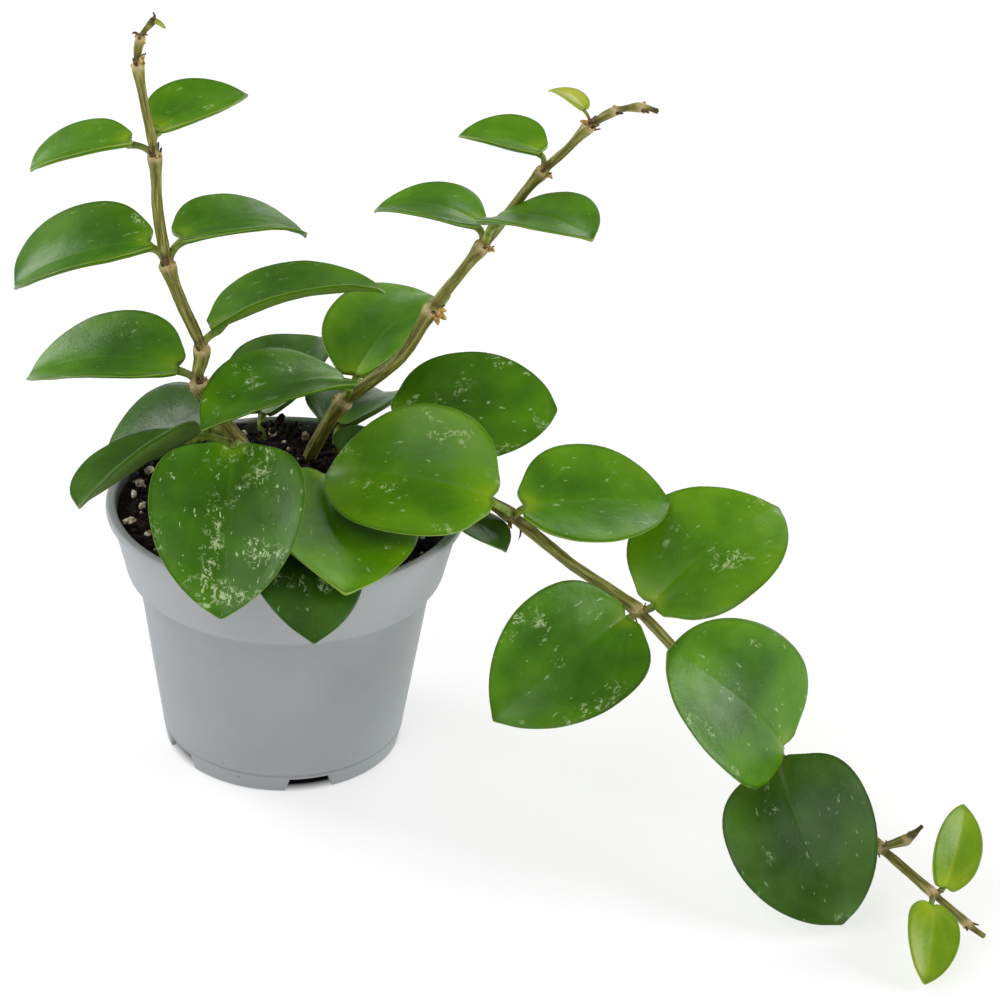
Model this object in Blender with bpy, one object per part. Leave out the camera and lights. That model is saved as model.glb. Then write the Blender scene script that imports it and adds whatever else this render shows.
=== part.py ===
"""Potted hoya: three vines of thick oval leaves, rooted in a round 12 cm nursery pot.

Design values are in millimetres and degrees, and MM turns them into Blender's metres. The origin is the
centre of the pot's foot, +Z is up, -Y is the pot's front, and the trailing vine leaves towards +X.
"""

from math import cos, pi, radians, sin, sqrt

import bmesh
import bpy
from mathutils import Vector

MM = 0.001
GAP = 0.3                   # clearance between two pieces that touch

POT_HEIGHT = 90.3
RIM_RADIUS = 60.0
POT_SEGMENTS = 40
WALL = 1.5
FLOOR_HEIGHT = 7.0          # top of the raised floor
FLOOR_THICKNESS = 1.6
FOOT_PAD_RADIUS = 12.0
FOOT_RADIUS = 40.4
NOTCH_COUNT = 5
NOTCH_WIDTH = 15.0
NOTCH_HEIGHT = 4.6
NOTCH_START = -72.5         # azimuth of the notch right of the front, in degrees
DRAIN_CIRCLE = 32.0
DRAIN_RADIUS = 4.0

SOIL_EDGE = 86.5            # soil height at the wall
SOIL_CROWN = 89.0           # soil height round the stems
SOIL_RADIUS = 55.7
ROOTED_DEPTH = 5.0          # how far a leaf stalk that starts in the soil stands in it

LEAF_THICKNESS = 1.7
PETIOLE_RADIUS = 1.4
WIDEST = 0.43               # where a blade is widest, as a share of its length
BLADE_SIDES = 8
STEM_SIDES = 8
BLADE_SHARES = (0.02, 0.07, 0.16, 0.29, 0.43, 0.58, 0.73, 0.86, 0.95, 1.0)
PETIOLE_SHARES = (0.0, 0.3, 0.55, 0.8, 1.0)

# Vines: points along the centre line as (x, y, z, radius). They start inside the soil. A separate script
# worked the places out from points marked by eye, and they were rounded.
STEMS = {
    "stem_left": [
        (-1, 1, 66, 2.6), (-3, 1, 86, 2.6), (-7, 1, 97, 2.5), (-12, 0, 106, 2.5), (-23, 2, 119, 2.3),
        (-30, 3, 130, 2.3), (-29, 4, 142, 2.1), (-35, 4, 157, 2.0), (-40, 5, 171, 2.0), (-43, 5, 190, 1.8),
        (-44, 6, 208, 1.7), (-47, 6, 225, 1.4), (-49, 6, 238, 1.5), (-48, 6, 247, 1.1), (-44, 6, 253, 1.2),
    ],
    "stem_right": [
        (2, 31, 66, 2.5), (4, 30, 86, 2.5), (9, 28, 100, 2.4), (17, 25, 115, 2.4), (35, 23, 133, 2.1),
        (45, 22, 152, 2.1), (54, 21, 166, 1.8), (61, 20, 177, 1.9), (71, 19, 193, 1.6), (79, 18, 205, 1.7),
        (86, 17, 213, 1.4), (93, 16, 222, 1.5), (101, 15, 228, 1.2), (109, 14, 230, 1.2), (114, 14, 229, 1.0),
    ],
    "stem_trailing": [
        (26, 15, 66, 2.0), (29, 14, 86, 2.0), (35, 9, 97, 2.0), (46, 3, 102, 2.2), (60, -5, 100, 1.9),
        (75, -14, 96, 2.1), (95, -22, 84, 1.9), (118, -30, 72, 1.9), (141, -45, 55, 1.6), (164, -60, 40, 1.8),
        (182, -72, 29, 1.5), (199, -83, 20, 1.6), (215, -96, 13, 1.4), (226, -105, 8, 1.3), (231, -108, 6, 0.9),
    ],
}

# Leaves: where the stalk starts, the blade's base, its length and width, the heading, rise and roll of its
# chord, how far its midrib arches down, how far its sides curl up, how blunt (0.5) or pointed (1.0) its tip
# is, and its colour. A stalk starts at a numbered point of its vine, or at an (x, y) place in the soil.
# These rows aren't hand-chosen: they are rounded results of a separate fitting script, and a few were
# nudged by hand afterwards. report.md says how they were made.
LEAVES = {
    "leaf_left_1": (("stem_left", 10), (-44, 11, 215), 36, 28, 44, 6, 3, 15, 45, 0.7, "leaf_young"),
    "leaf_left_2": (("stem_left", 10), (-52, 7, 212), 33, 28, -172, -17, 0, 28, 35, 0.6, "leaf_young"),
    "leaf_left_3": (("stem_left", 8), (-46, 7, 177), 47, 40, -176, -20, -9, 37, 45, 0.5, "leaf_green"),
    "leaf_left_4": (("stem_left", 8), (-36, 9, 179), 45, 37, 27, -7, -4, 52, 23, 0.7, "leaf_green"),
    "leaf_left_5": (("stem_left", 5), (-37, 4, 135), 54, 45, 169, -13, -6, 42, 33, 0.7, "leaf_green"),
    "leaf_left_6": (("stem_left", 6), (-25, 6, 149), 58, 49, 14, 10, -14, 41, 31, 0.7, "leaf_green"),
    "leaf_left_7": (("stem_left", 3), (-27, 10, 110), 49, 39, 152, -29, -28, 17, 43, 0.7, "leaf_dark"),
    "leaf_left_8": (("stem_left", 3), (-32, 0, 112), 49, 41, -131, -10, 30, 12, 45, 0.6, "leaf_dark"),
    "leaf_left_9": (("stem_left", 3), (-16, -20, 118), 62, 53, -88, -31, 0, 34, 39, 0.7, "leaf_green"),
    "leaf_right_1": (("stem_right", 11), (91, 18, 227), 16, 10, 138, 5, 6, 48, 24, 0.8, "leaf_new"),
    "leaf_right_2": (("stem_right", 9), (78, 22, 210), 29, 25, 157, -1, -3, 23, 41, 0.7, "leaf_young"),
    "leaf_right_3": (("stem_right", 7), (59, 24, 183), 37, 31, 163, -3, 1, 49, 22, 0.7, "leaf_green"),
    "leaf_right_4": (("stem_right", 7), (65, 12, 190), 44, 36, -45, 11, 1, 38, 21, 0.7, "leaf_green"),
    "leaf_right_5": (("stem_right", 3), (20, 31, 122), 54, 43, 62, 10, -6, 42, 48, 0.7, "leaf_young"),
    "leaf_right_6": (("stem_right", 3), (17, 17, 126), 56, 44, -143, -3, 5, 45, 32, 0.8, "leaf_green"),
    "leaf_trailing_1": (("stem_trailing", 2), (34, 25, 110), 55, 45, -1, 7, 29, 25, 8, 0.6, "leaf_green"),
    "leaf_trailing_2": (("stem_trailing", 5), (68, -22, 106), 60, 54, 160, -5, -28, 42, 31, 0.8, "leaf_young"),
    "leaf_trailing_3": (("stem_trailing", 4), (58, -12, 95), 24, 20, -48, -8, -10, 10, 15, 0.9, "leaf_dark"),
    "leaf_trailing_4": (("stem_trailing", 5), (79, -18, 102), 50, 44, 16, -3, 20, 15, 24, 0.7, "leaf_young"),
    "leaf_trailing_5": (("stem_trailing", 7), (123, -30, 75), 57, 51, 38, 22, 13, 45, 18, 0.8, "leaf_young"),
    "leaf_trailing_6": (("stem_trailing", 7), (114, -34, 71), 57, 48, -143, -23, -34, 39, 37, 0.8, "leaf_green"),
    "leaf_trailing_7": (("stem_trailing", 9), (166, -63, 44), 57, 51, -168, 44, -50, 42, 27, 0.5, "leaf_green"),
    "leaf_trailing_8": (("stem_trailing", 9), (165, -65, 37), 57, 49, -61, -36, 34, 56, 23, 0.7, "leaf_dark"),
    "leaf_trailing_9": (("stem_trailing", 12), (219, -94, 14), 29, 17, 74, 37, 29, 39, 27, 0.8, "leaf_new"),
    "leaf_trailing_10": (("stem_trailing", 12), (214, -102, 12), 30, 18, -97, -18, -15, 45, 28, 0.7, "leaf_new"),
    "leaf_front_1": (("soil", (9, 6)), (12, 4, 97), 71, 56, -80, -2, -11, 3, 23, 0.7, "leaf_young"),
    "leaf_front_2": (("soil", (2, -26)), (6, -37, 94), 43, 36, -76, -19, -7, 60, 5, 0.8, "leaf_dark"),
    "leaf_back_1": (("soil", (-12, 48)), (-14, 54, 94), 45, 40, 66, 15, -10, 46, 32, 0.9, "leaf_dark"),
    "leaf_back_2": (("soil", (14, 40)), (14, 42, 97), 43, 39, 66, -9, -8, 48, 31, 0.6, "leaf_dark"),
    "leaf_back_3": (("soil", (30, 24)), (27, 26, 97), 15, 12, -171, 18, -51, 30, 14, 0.8, "leaf_dark"),
}

# Perlite grains and bark flakes on the soil: (x, y), size, and for a flake its turn. The grains' places
# were worked out and rounded as the vines' points were.
GRAINS = [
    ((-43, 25), 4.0), ((-48, 16), 4.4), ((-50, 8), 3.2), ((-51, 0), 3.0), ((-47, -8), 2.6), ((-50, -18), 3.4),
    ((-43, -26), 2.8), ((-9, 47), 4.6), ((2, 48), 3.4), ((-20, 45), 3.8), ((-30, 42), 3.6), ((46, -18), 3.0),
]
FLAKES = [((20, 44), 11.0, 0.4), ((14, 18), 9.0, -0.6)]

SIDE_SHOOT = [(202, -82, 21.5), (205, -81.5, 21.8), (207, -81, 22.5), (209.5, -79.5, 24), (212, -78, 26)]
SIDE_SHOOT_RADII = (1.3, 1.3, 1.4, 1.2, 0.9)

# Linear colour, roughness
MATERIALS = {
    "pot_plastic": ((0.33, 0.35, 0.37), 0.55),
    "soil": ((0.012, 0.008, 0.006), 0.95),
    "perlite": ((0.62, 0.55, 0.45), 0.9),
    "bark": ((0.16, 0.07, 0.035), 0.85),
    "stem": ((0.17, 0.13, 0.04), 0.6),
    "leaf_green": ((0.045, 0.13, 0.012), 0.38),
    "leaf_dark": ((0.028, 0.075, 0.012), 0.38),
    "leaf_young": ((0.08, 0.2, 0.01), 0.36),
    "leaf_new": ((0.2, 0.3, 0.012), 0.36),
}


def material(name, colour, roughness, specular=0.5):
    """A plain Principled material from a linear RGB colour."""
    made = bpy.data.materials.new(name)
    made.use_nodes = True
    shader = made.node_tree.nodes["Principled BSDF"]
    shader.inputs["Base Color"].default_value = (*colour, 1.0)
    shader.inputs["Roughness"].default_value = roughness
    shader.inputs["Metallic"].default_value = 0.0
    shader.inputs["Specular IOR Level"].default_value = specular
    return made


def add_object(name, mesh_data, surface, smooth=True):
    """Turn a bmesh into a named object whose faces point outward."""
    bmesh.ops.recalc_face_normals(mesh_data, faces=mesh_data.faces)
    mesh = bpy.data.meshes.new(name)
    mesh_data.to_mesh(mesh)
    mesh_data.free()
    if smooth:
        mesh.shade_smooth()
        mesh.set_sharp_from_angle(angle=radians(40))
    mesh.materials.append(surface)
    made = bpy.data.objects.new(name, mesh)
    bpy.context.scene.collection.objects.link(made)
    return made


def loft(rings):
    """One closed body through rings of points that all have the same count."""
    mesh_data = bmesh.new()
    loops = [[mesh_data.verts.new(point * MM) for point in ring] for ring in rings]
    sides = len(loops[0])
    for low, high in zip(loops, loops[1:]):
        for side in range(sides):
            after = (side + 1) % sides
            mesh_data.faces.new((low[side], low[after], high[after], high[side]))
    mesh_data.faces.new(loops[0])
    mesh_data.faces.new(loops[-1])
    return mesh_data


def turned(profile, segments):
    """A body turned round Z from (radius, height) points that start and end on the axis."""
    mesh_data = bmesh.new()
    bottom = mesh_data.verts.new((0, 0, profile[0][1] * MM))
    top = mesh_data.verts.new((0, 0, profile[-1][1] * MM))
    loops = []
    for radius, height in profile[1:-1]:
        angles = (2 * pi * step / segments for step in range(segments))
        loops.append([mesh_data.verts.new((radius * cos(a) * MM, radius * sin(a) * MM, height * MM))
                      for a in angles])
    for step in range(segments):
        after = (step + 1) % segments
        for low, high in zip(loops, loops[1:]):
            mesh_data.faces.new((low[step], low[after], high[after], high[step]))
        mesh_data.faces.new((bottom, loops[0][after], loops[0][step]))
        mesh_data.faces.new((top, loops[-1][step], loops[-1][after]))
    return mesh_data


def cut(body, cutter):
    """Subtract the cutter from the body, and keep the cutter as a hidden guide."""
    cutter.hide_render = True
    cutter.display_type = "WIRE"
    boolean = body.modifiers.new(cutter.name, "BOOLEAN")
    boolean.operation = "DIFFERENCE"
    boolean.solver = "EXACT"
    boolean.object = cutter


def along(points, share):
    """A point on the smooth (Catmull-Rom) curve through the points; share counts in points."""
    index = min(int(share), len(points) - 2)
    t = share - index
    here, after = points[index], points[index + 1]
    before = points[index - 1] if index else here * 2 - after
    beyond = points[index + 2] if index + 2 < len(points) else after * 2 - here
    return 0.5 * (2 * here + (after - before) * t + (2 * before - 5 * here + 4 * after - beyond) * t * t
                  + (3 * here - before - 3 * after + beyond) * t * t * t)


def carried_frames(path, first_side):
    """Side and normal at each point of a path, carried along it without twist."""
    frames = []
    side = first_side
    for index, _ in enumerate(path):
        ahead = path[min(index + 1, len(path) - 1)]
        behind = path[max(index - 1, 0)]
        tangent = (ahead - behind).normalized()
        side = (side - tangent * side.dot(tangent)).normalized()
        frames.append((side, tangent.cross(side)))
    return frames


def tube_rings(path, radii, sides, first_side=Vector((0, 1, 0)), turn_sense=1):
    """Round rings along a path, counted clockwise or anticlockwise seen along it."""
    rings = []
    for point, radius, (side, normal) in zip(path, radii, carried_frames(path, first_side)):
        angles = (turn_sense * 2 * pi * step / sides for step in range(sides))
        rings.append([point + side * radius * cos(a) + normal * radius * sin(a) for a in angles])
    return rings


# Pot -------------------------------------------------------------------------------------------------

def make_pot(surface):
    """Turned shell: foot pad, raised floor, foot ring, tapering body, collar and rolled rim."""
    floor_under = FLOOR_HEIGHT - FLOOR_THICKNESS
    outside = [
        (0, 0), (FOOT_PAD_RADIUS, 0), (FOOT_PAD_RADIUS + 2.5, floor_under), (38.6, floor_under),
        (38.8, 0), (FOOT_RADIUS, 0), (41.4, 6.1), (41.1, 6.5), (41.5, 6.9), (49.3, 62.0), (50.2, 64.0),
        (52.4, 65.2), (53.5, 67.0), (54.0, 69.2), (58.2, 86.6), (58.6, 87.3), (RIM_RADIUS, 87.6),
        (RIM_RADIUS, 89.5), (RIM_RADIUS - 0.8, POT_HEIGHT),
    ]
    inside = [
        (RIM_RADIUS - 2.7, POT_HEIGHT), (56.6, 89.7), (56.5, 86.5), (52.0, 67.5), (50.4, 66.0),
        (48.3, 64.2), (49.3 - WALL, 62.0), (40.1, 8.6), (39.3, FLOOR_HEIGHT),
        (FOOT_PAD_RADIUS + 3.5, FLOOR_HEIGHT), (FOOT_PAD_RADIUS + 1, FLOOR_THICKNESS), (0, FLOOR_THICKNESS),
    ]
    pot = add_object("pot", turned(outside + inside, POT_SEGMENTS), surface)
    for number in range(NOTCH_COUNT):
        turn = radians(NOTCH_START + 360 / NOTCH_COUNT * number)
        cut(pot, make_notch_cutter(f"cut_notch_{number + 1}", turn))
        cut(pot, make_hole_cutter(f"cut_drain_{number + 1}", turn))
    return pot


def make_notch_cutter(name, turn):
    """A radial bar, wider at its foot, that opens the foot ring."""
    rings = []
    for reach in (35.0, 45.0):
        half = NOTCH_WIDTH / 2
        corners = ((-half - 1, -1), (half + 1, -1), (half - 1, NOTCH_HEIGHT), (1 - half, NOTCH_HEIGHT))
        rings.append([Vector((reach * cos(turn) - across * sin(turn),
                              reach * sin(turn) + across * cos(turn), height))
                      for across, height in corners])
    return add_object(name, loft(rings), None, smooth=False)


def make_hole_cutter(name, turn):
    """A drain hole through the raised floor, just inside the notch."""
    centre = Vector((DRAIN_CIRCLE * cos(turn), DRAIN_CIRCLE * sin(turn), 0))
    path = [centre + Vector((0, 0, FLOOR_HEIGHT - FLOOR_THICKNESS - 1)), centre + Vector((0, 0, FLOOR_HEIGHT + 1))]
    return add_object(name, loft(tube_rings(path, (DRAIN_RADIUS, DRAIN_RADIUS), 12)), None, smooth=False)


# Soil ------------------------------------------------------------------------------------------------

def soil_height(radius):
    """The soil's surface is a low crown."""
    return SOIL_CROWN - (SOIL_CROWN - SOIL_EDGE) * (radius / SOIL_RADIUS) ** 2


def make_soil(surface):
    """Turned plug that follows the pot's inside with a small clearance."""
    under = [
        (0, FLOOR_THICKNESS + GAP), (FOOT_PAD_RADIUS + 0.5, FLOOR_THICKNESS + GAP),
        (FOOT_PAD_RADIUS + 3.0, FLOOR_HEIGHT + GAP), (38.9, FLOOR_HEIGHT + GAP), (39.7, 8.8), (47.4, 62.1),
        (47.8, 64.4), (50.0, 66.4), (51.6, 67.9), (SOIL_RADIUS, SOIL_EDGE - 0.6),
    ]
    over = [(radius, soil_height(radius)) for radius in (55.0, 48.0, 38.0, 26.0, 13.0, 0.0)]
    return add_object("soil", turned(under + over, POT_SEGMENTS), surface, smooth=False)


def make_grain(name, place, size, surface):
    """An angular grain that rests on the soil."""
    mesh_data = bmesh.new()
    bmesh.ops.create_icosphere(mesh_data, subdivisions=1, radius=0.5)
    x, y = place
    spin = x * 1.3 + y * 0.7
    centre = Vector((x, y, soil_height(sqrt(x * x + y * y)) + GAP + size * 0.42))
    for vertex in mesh_data.verts:
        point = vertex.co * size * (1 + 0.16 * sin(spin + 5 * vertex.co.x + 9 * vertex.co.y))
        point.z = max(point.z * 0.85, -0.34 * size)
        vertex.co = (centre + point) * MM
    return add_object(name, mesh_data, surface, smooth=False)


def make_flake(name, place, length, turn, surface):
    """A flat flake of bark that rests on the soil."""
    mesh_data = bmesh.new()
    bmesh.ops.create_cube(mesh_data, size=1.0)
    x, y = place
    centre = Vector((x, y, soil_height(sqrt(x * x + y * y)) + 2 * GAP + 0.7))
    for vertex in mesh_data.verts:
        along_flake = vertex.co.x * length
        across = vertex.co.y * length * (0.42 - 0.2 * vertex.co.x)
        lift = vertex.co.z * 1.2
        vertex.co = (centre + Vector((along_flake * cos(turn) - across * sin(turn),
                                      along_flake * sin(turn) + across * cos(turn), lift))) * MM
    return add_object(name, mesh_data, surface, smooth=False)


# Stems -----------------------------------------------------------------------------------------------

def stem_path(name, per_point=3):
    """Points and radii along a vine's smooth centre line."""
    points = [Vector(row[:3]) for row in STEMS[name]]
    radii = [Vector((row[3], 0, 0)) for row in STEMS[name]]
    shares = [step / per_point for step in range((len(points) - 1) * per_point + 1)]
    return [along(points, share) for share in shares], [along(radii, share).x for share in shares]


def make_stem(name, surface):
    """A tapering vine."""
    path, radii = stem_path(name)
    return add_object(name, loft(tube_rings(path, radii, STEM_SIDES)), surface)


def make_side_shoot(surface):
    """A short bare shoot beside the trailing vine, close to its end."""
    path = [Vector(point) for point in SIDE_SHOOT]
    return add_object("side_shoot", loft(tube_rings(path, SIDE_SHOOT_RADII, STEM_SIDES)), surface)


def make_stem_cutter(name):
    """The pocket that a vine's foot fills in the soil."""
    path, radii = stem_path(name)
    path, radii = path[:7], [radius + GAP for radius in radii[:7]]
    path[0] = path[0] - (path[1] - path[0]).normalized() * GAP
    return add_object("cut_" + name, loft(tube_rings(path, radii, STEM_SIDES)), None, smooth=False)


# Leaves ----------------------------------------------------------------------------------------------

def blade_half_width(share, width, taper):
    """Half width of a blade: a round base, then a curve to the pointed tip."""
    if share < WIDEST:
        return width / 2 * sqrt(max(0.0, 1 - ((WIDEST - share) / WIDEST) ** 2))
    return width / 2 * max(0.0, 1 - ((share - WIDEST) / (1 - WIDEST)) ** 2) ** taper


def leaf_axes(heading, rise, roll):
    """Unit vectors along the blade's chord, to its left and out of its upper face."""
    forward = Vector((cos(rise) * cos(heading), cos(rise) * sin(heading), sin(rise)))
    left = Vector((-sin(heading), cos(heading), 0))
    upward = forward.cross(left)
    return forward, left * cos(roll) + upward * sin(roll), upward * cos(roll) - left * sin(roll)


def midrib(share, length, arch):
    """Distance along the chord and height above it, on an arc that turns down by the arch angle."""
    start = arch / 2
    here = start - arch * share
    radius = length / arch
    return radius * (sin(start) - sin(here)), radius * (cos(here) - cos(start))


def blade_rings(base, length, width, heading, rise, roll, arch, cup, taper):
    """Lens-shaped rings along the blade, whose sides are bent up by the cup angle."""
    forward, left, upward = leaf_axes(radians(heading), radians(rise), radians(roll))
    bend, curl = radians(arch), radians(cup)
    rings = []
    for share in BLADE_SHARES:
        reach, height = midrib(share, length, bend)
        slope = bend * (0.5 - share)
        centre = base + forward * reach + upward * height
        normal = upward * cos(slope) - forward * sin(slope)
        half_width = max(blade_half_width(share, width, taper), 0.4)
        half_thick = LEAF_THICKNESS / 2 * (1.35 - 0.75 * share)
        ring = []
        for step in range(BLADE_SIDES):
            turn = 2 * pi * step / BLADE_SIDES
            angle = curl * cos(turn)
            spot = centre + left * half_width * sin(angle) / curl
            spot += normal * half_width * (1 - cos(angle)) / curl
            ring.append(spot + (normal * cos(angle) - left * sin(angle)) * half_thick * sin(turn))
        rings.append(ring)
    return rings


def petiole_radius(length):
    """A small leaf has a thinner stalk."""
    return PETIOLE_RADIUS * min(1.0, length / 40)


def petiole_start(name):
    """Where the stalk starts, clear of its vine's skin or down in the soil, and its first direction."""
    (source, place), base, length = LEAVES[name][:3]
    base = Vector(base)
    if source == "soil":
        x, y = place
        return Vector((x, y, soil_height(sqrt(x * x + y * y)) - ROOTED_DEPTH)), Vector((0, 0, 1))
    x, y, z, radius = STEMS[source][place]
    joint = Vector((x, y, z))
    axis = (Vector(STEMS[source][place + 1][:3]) - Vector(STEMS[source][place - 1][:3])).normalized()
    outward = (base - joint).normalized()
    lean = abs(outward.dot(axis))
    clear = (radius + 2 * GAP + petiole_radius(length) * lean) / sqrt(1 - lean * lean)
    return joint + outward * clear, outward


def petiole_route(name):
    """A stalk that leaves its vine straight and turns into the line of the blade."""
    start, outward = petiole_start(name)
    base = Vector(LEAVES[name][1])
    heading, rise, roll, arch = LEAVES[name][4:8]
    forward, left, upward = leaf_axes(radians(heading), radians(rise), radians(roll))
    slope = radians(arch) / 2
    tangent = forward * cos(slope) + upward * sin(slope)
    reach = (base - start).length * 0.4
    first = start + outward * reach
    last = base - tangent * reach
    path = []
    for share in PETIOLE_SHARES:
        rest = 1 - share
        path.append(start * rest ** 3 + first * 3 * rest * rest * share
                    + last * 3 * rest * share * share + base * share ** 3)
    return path[:-1], left


def petiole_rings(path, left, radius):
    """Round rings whose sides line up with the blade's, carried back from its base."""
    back = tube_rings(list(reversed(path)), [radius] * len(path), BLADE_SIDES, left, turn_sense=-1)
    return list(reversed(back))


def make_leaf(name, surfaces):
    """One stalk and blade, lofted as a single body."""
    _, base, length, width, heading, rise, roll, arch, cup, taper, surface = LEAVES[name]
    rings = petiole_rings(*petiole_route(name), petiole_radius(length))
    rings += blade_rings(Vector(base), length, width, heading, rise, roll, arch, cup, taper)
    return add_object(name, loft(rings), surfaces[surface])


def make_petiole_cutter(name):
    """The pocket that a leaf stalk's foot fills in the soil."""
    path, left = petiole_route(name)
    foot = path[0] - (path[1] - path[0]).normalized() * GAP
    rings = petiole_rings([foot] + path[1:], left, petiole_radius(LEAVES[name][2]) + GAP)
    return add_object("cut_" + name, loft(rings[:3]), None, smooth=False)


def main():
    for leftover in list(bpy.data.objects):
        bpy.data.objects.remove(leftover, do_unlink=True)
    surfaces = {name: material(name, *look) for name, look in MATERIALS.items()}
    make_pot(surfaces["pot_plastic"])
    soil = make_soil(surfaces["soil"])
    for name in STEMS:
        make_stem(name, surfaces["stem"])
        cut(soil, make_stem_cutter(name))
    make_side_shoot(surfaces["stem"])
    for name in LEAVES:
        make_leaf(name, surfaces)
        if LEAVES[name][0][0] == "soil":
            cut(soil, make_petiole_cutter(name))
    for number, (place, size) in enumerate(GRAINS, start=1):
        make_grain(f"perlite_{number:02d}", place, size, surfaces["perlite"])
    for number, (place, length, turn) in enumerate(FLAKES, start=1):
        make_flake(f"bark_flake_{number}", place, length, turn, surfaces["bark"])


main()
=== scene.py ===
import random
from math import cos, exp, pi, radians, sin, sqrt, tanh

import bmesh
import bpy
from mathutils import Matrix, Vector, noise


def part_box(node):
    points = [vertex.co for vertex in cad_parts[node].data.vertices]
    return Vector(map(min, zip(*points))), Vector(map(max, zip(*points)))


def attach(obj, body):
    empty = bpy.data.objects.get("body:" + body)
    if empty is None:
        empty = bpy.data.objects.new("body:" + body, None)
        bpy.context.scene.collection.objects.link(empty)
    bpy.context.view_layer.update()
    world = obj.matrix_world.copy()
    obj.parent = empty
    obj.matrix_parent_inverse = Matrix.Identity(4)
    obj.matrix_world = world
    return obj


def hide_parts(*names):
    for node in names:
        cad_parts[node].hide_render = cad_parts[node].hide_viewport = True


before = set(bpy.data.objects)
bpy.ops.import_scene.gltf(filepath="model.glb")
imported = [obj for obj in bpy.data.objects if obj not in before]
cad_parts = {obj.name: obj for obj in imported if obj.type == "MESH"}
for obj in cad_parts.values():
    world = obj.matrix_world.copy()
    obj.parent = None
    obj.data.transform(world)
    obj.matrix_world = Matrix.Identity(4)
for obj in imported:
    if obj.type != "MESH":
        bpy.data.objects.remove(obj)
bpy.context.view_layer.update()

MM = 0.001

# Pot -------------------------------------------------------------------------------------------------
# A thin-walled grower's pot with a collar that stacks and a rolled rim, injection moulded in recycled grey
# polypropylene. It stands on a foot ring with five drain notches, and everything else is planted in it.
POT_COLUMNS = 180
NOTCH_COUNT = 5
NOTCH_START = -72.5         # azimuth of the notch right of the front
NOTCH_HEIGHT = 4.6
NOTCH_HALF_TOP = 6.5
NOTCH_HALF_FOOT = 8.1
FOOT_RING = 39.6            # middle radius of the foot ring
DRAIN_CIRCLE = 32.0
DRAIN_RADIUS = 4.0
RIM_RADIUS = (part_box("pot")[1].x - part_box("pot")[0].x) / 2 / MM
POT_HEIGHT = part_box("pot")[1].z / MM
POT_OUTSIDE = [
    (0, 0), (12, 0), (14.5, 5.4), (38.5, 5.4), (38.8, 0.3), (39.1, 0), (40.0, 0), (40.35, 0.35), (41.4, 6.0),
    (41.15, 6.3), (41.1, 6.6), (41.35, 6.95), (41.55, 7.4), (41.7, 8.4), (49.15, 61.0), (49.4, 62.4),
    (49.8, 63.4), (50.5, 64.1), (51.5, 64.7), (52.5, 65.3), (53.2, 66.2), (53.65, 67.4), (53.9, 68.6),
    (54.2, 70.0), (57.9, 85.4), (58.15, 86.4), (58.5, 87.1), (59.1, 87.4), (RIM_RADIUS - 0.4, 87.45),
    (RIM_RADIUS - 0.08, 87.65), (RIM_RADIUS, 88.0), (RIM_RADIUS, 89.3), (RIM_RADIUS - 0.15, 89.8),
    (RIM_RADIUS - 0.5, 90.15), (RIM_RADIUS - 0.9, POT_HEIGHT),
]
POT_INSIDE = [
    (57.6, POT_HEIGHT), (57.1, 90.15), (56.75, 89.8), (56.6, 89.3), (56.5, 86.5), (52.0, 67.5), (50.4, 66.0),
    (48.3, 64.2), (47.8, 62.0), (40.1, 8.6), (39.3, 7.0), (15.5, 7.0), (13.0, 1.6), (0, 1.6),
]


def linear(hex_colour):
    """An sRGB colour such as "#9EA2A6" as the linear RGBA that sockets take."""
    parts = [int(hex_colour[place:place + 2], 16) / 255 for place in (1, 3, 5)]
    return [part / 12.92 if part <= 0.04045 else ((part + 0.055) / 1.055) ** 2.4 for part in parts] + [1.0]


def add_node(tree, kind, inputs=None, stops=None, **settings):
    """Add a shader node. Inputs are values or other nodes' sockets; stops fill a colour ramp."""
    made = tree.nodes.new("ShaderNode" + kind)
    for name, value in settings.items():
        setattr(made, name, value)
    for socket, value in (inputs or {}).items():
        if isinstance(value, bpy.types.NodeSocket):
            tree.links.new(value, made.inputs[socket])
        else:
            made.inputs[socket].default_value = value
    for place, (position, colour) in enumerate(stops or []):
        element = made.color_ramp.elements[place] if place < 2 else made.color_ramp.elements.new(position)
        element.position = position
        element.color = linear(colour)
    return made.outputs


def new_material(name, roughness, ior):
    """A material with its node tree and Principled shader."""
    made = bpy.data.materials.new(name)
    made.use_nodes = True
    shader = made.node_tree.nodes["Principled BSDF"]
    shader.inputs["Roughness"].default_value = roughness
    shader.inputs["IOR"].default_value = ior
    return made, made.node_tree, shader.inputs


def grainy_skin(name, roughness, grain, detail, stops, strength, depth):
    """A matt natural skin whose colour and relief follow one fine noise; grain and depth are in mm."""
    made, tree, shader = new_material(name, roughness, 1.45)
    place = add_node(tree, "TexCoord")["Object"]
    fibre = add_node(tree, "TexNoise", {"Vector": place, "Scale": 1 / (grain * MM), "Detail": detail})["Fac"]
    colour = add_node(tree, "ValToRGB", {"Fac": fibre}, stops=stops)["Color"]
    tree.links.new(colour, shader["Base Color"])
    skin = add_node(tree, "Bump", {"Height": fibre, "Strength": strength, "Distance": depth * MM})["Normal"]
    tree.links.new(skin, shader["Normal"])
    return made


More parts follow.
